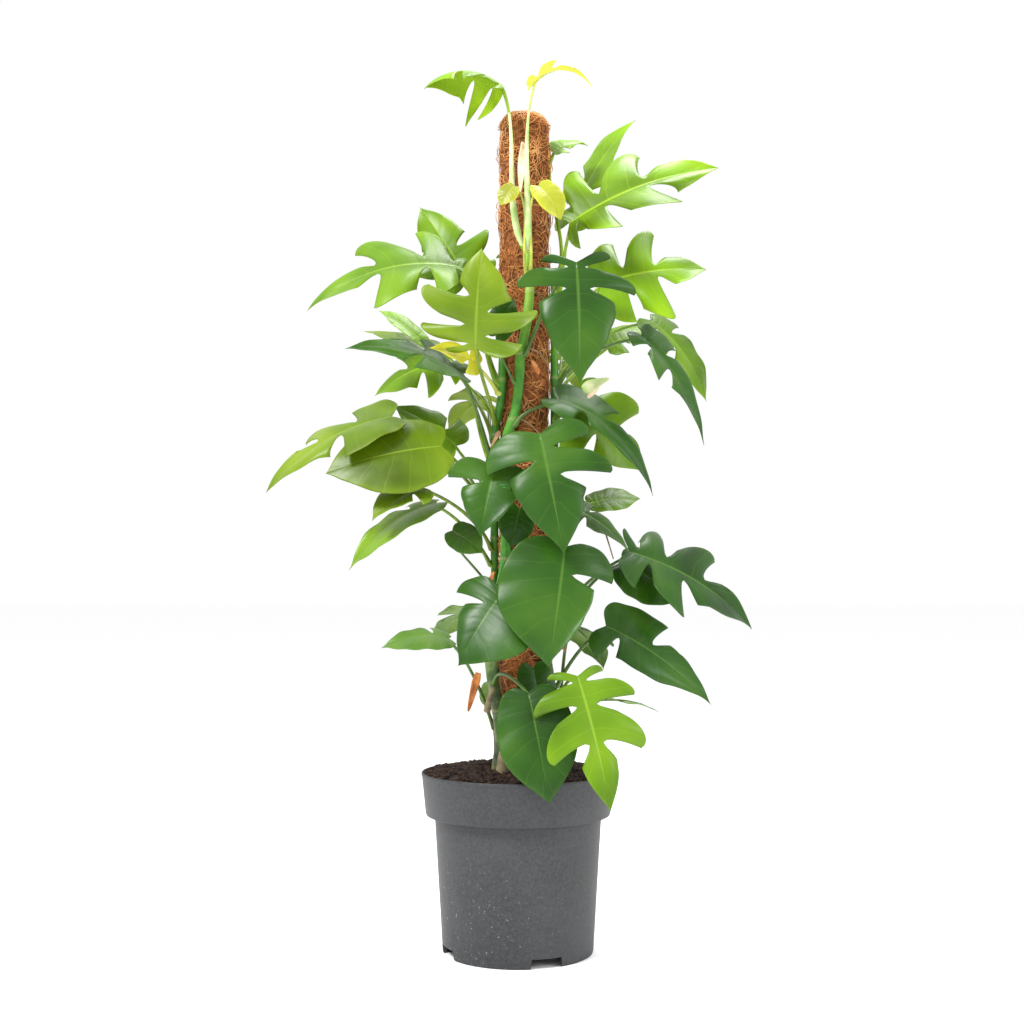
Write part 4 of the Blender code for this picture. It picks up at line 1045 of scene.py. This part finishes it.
def side_fibres(curve, rng):
    """Loose fibres that wander over the side of the coir and onto its rounded top."""
    for number in range(SIDE_FIBRES):
        count = rng.randint(6, 9)
        turn = rng.uniform(0.0, tau)
        height = rng.uniform(FIBRE_LOW, COIR_TOP - 6.0 * MM)
        heading = rng.gauss(0.0, 1.0)
        step = rng.uniform(3.5, 6.5) * MM
        lift = rng.uniform(-0.4, 1.2) * MM
        loop = rng.uniform(2.0, 4.5) * MM if rng.random() < 0.1 else rng.uniform(0.0, 1.0) * MM
        thick = rng.uniform(0.2, 0.5) * MM
        spline = curve.splines.new("POLY")
        spline.points.add(count - 1)
        swing = rng.gauss(0.0, 0.35)
        for index in range(count):
            share = index / (count - 1)
            reach = COIR_RADIUS - 0.6 * MM + lift + loop * sin(pi * share)
            reach += WAIST_DEPTH * cos(tau * height / WAIST_PITCH)
            top_room = COIR_TOP - height
            if top_room < DOME_HEIGHT:
                reach -= dome_fall(DOME_HEIGHT - max(0.0, top_room))
            point = spline.points[index]
            point.co = (POLE_X + reach * sin(turn), POLE_Y - reach * cos(turn), height, 1.0)
            point.radius = thick * (1.0 - 0.5 * abs(2.0 * share - 1.0) ** 3)
            turn += step * cos(heading) / COIR_RADIUS
            height = min(COIR_TOP + 1.5 * MM, max(FIBRE_LOW, height + step * sin(heading)))
            heading += swing + rng.gauss(0.0, 0.25)


def top_fibres(curve, rng):
    """Loose fibres that lie across the top of the coir, every fourth one in a higher loop."""
    for number in range(TOP_FIBRES):
        turn = rng.uniform(0.0, tau)
        reach = rng.uniform(0.0, 24.0) * MM
        x = POLE_X + reach * cos(turn)
        y = POLE_Y + reach * sin(turn)
        heading = rng.uniform(0.0, tau)
        spline = curve.splines.new("POLY")
        spline.points.add(6)
        thick = rng.uniform(0.2, 0.46) * MM
        for index in range(7):
            share = index / 6
            out = hypot(x - POLE_X, y - POLE_Y)
            surface = COIR_TOP - 1.0 * MM - dome_fall(max(0.0, out - DOME_RADIUS))
            loop = 3.0 * MM * sin(pi * share) * (number % 4 == 0)
            rise = surface + rng.uniform(0.2, 1.0) * MM + loop
            point = spline.points[index]
            point.co = (x, y, rise, 1.0)
            point.radius = thick
            x += 4.2 * MM * cos(heading)
            y += 4.2 * MM * sin(heading)
            heading += rng.gauss(0.0, 0.4)
            if hypot(x - POLE_X, y - POLE_Y) > 30.0 * MM:
                heading += 2.4


def make_fibres(finish):
    """All the loose fibres of the coir, as one mesh."""
    rng = random.Random(21)
    curve = bpy.data.curves.new("coir_fibres", "CURVE")
    curve.dimensions = "3D"
    curve.bevel_depth = 1.0
    curve.bevel_resolution = 0
    side_fibres(curve, rng)
    top_fibres(curve, rng)
    fibres = bake(new_object("coir_fibres", curve))
    fibres.data.shade_smooth()
    refinish(fibres, finish)
    place_piece(fibres, "coir")


def make_ties(finish):
    """Soft plastic ties, a little rounded."""
    for name, height in TIES:
        inner = 0.0
        for vine in VINES:
            middle, radius = vine_point(vine, height * MM)
            reach = hypot(middle.x - POLE_X, middle.y - POLE_Y)
            inner = max(inner, reach + radius + 0.3 * MM)
        middle = inner + 0.5 * TIE_BAND
        profile = []
        for step in range(TIE_SIDES + 1):
            turn = tau * step / TIE_SIDES
            out = middle + 0.5 * TIE_BAND * cos(turn)
            profile.append((out, height * MM + 0.45 * TIE_HEIGHT * sin(turn)))
        band = turned("band_" + name, profile, TIE_STEPS, (POLE_X, POLE_Y))
        band.data.shade_smooth()
        refinish(band, finish)
        place_piece(band, "tie", name)


def make_stage():
    """Floor, world, lights and camera."""
    bm = bmesh.new()
    bmesh.ops.create_grid(bm, x_segments=1, y_segments=1, size=FLOOR_HALF)
    floor = from_bmesh("floor", bm)
    pale = Nodes("floor_pale")
    pale.shader.inputs["Base Color"].default_value = (FLOOR_PALE, FLOOR_PALE, FLOOR_PALE, 1.0)
    pale.shader.inputs["Roughness"].default_value = 0.85
    floor.data.materials.append(pale.material)
    world = bpy.data.worlds.new("studio")
    bpy.context.scene.world = world
    world.use_nodes = True
    background = world.node_tree.nodes["Background"]
    background.inputs["Color"].default_value = (1.0, 1.0, 1.0, 1.0)
    background.inputs["Strength"].default_value = 1.0
    for name, place, aim, size, power in LIGHTS:
        light = bpy.data.lights.new(name, "AREA")
        light.shape = "DISK"
        light.size = size
        light.energy = power
        lamp = new_object(name, light)
        lamp.location = place
        lamp.rotation_euler = (Vector(aim) - Vector(place)).to_track_quat("-Z", "Y").to_euler()
    camera = bpy.data.cameras.new("camera")
    camera.lens = CAMERA_LENS
    camera.shift_y = CAMERA_SHIFT
    camera.sensor_width = 36.0
    camera.clip_end = 80.0
    eye = new_object("camera", camera)
    eye.location = CAMERA_PLACE
    eye.rotation_euler = (radians(90.0), 0.0, 0.0)
    bpy.context.scene.camera = eye
    bpy.context.scene.view_settings.view_transform = "Standard"


finishes = {}
for tone in TONE_COLOURS:
    finishes[tone] = (leaf_material(tone, False), leaf_material(tone, True), stalk_material(tone))
for name, row in PLAIN_FINISHES.items():
    finishes[name] = plain_material(*row)
stake_wood = plain_material("stake_wood", (150, 112, 74), (176, 136, 92), 60.0, 0.7)
refinish(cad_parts["pole_core"], stake_wood)
make_pot(pot_material())
make_soil(soil_material())
# The sleeve takes the darker coir finish, which is painted shade of the gaps under the loose fibres.
make_sleeve(coir_material(True))
make_fibres(coir_material(False))
make_vines(stem_material())
make_ties(plain_material("tie_green", (40, 96, 44), (56, 120, 56), 40.0, 0.4))
for leaf in LEAVES:
    make_leaf(leaf, finishes)
for leaf in LEAVES:
    if leaf.number in SHEATHED:
        make_sheath(leaf, finishes["sheath"])
make_strips(finishes)
make_roots(finishes)
make_stage()
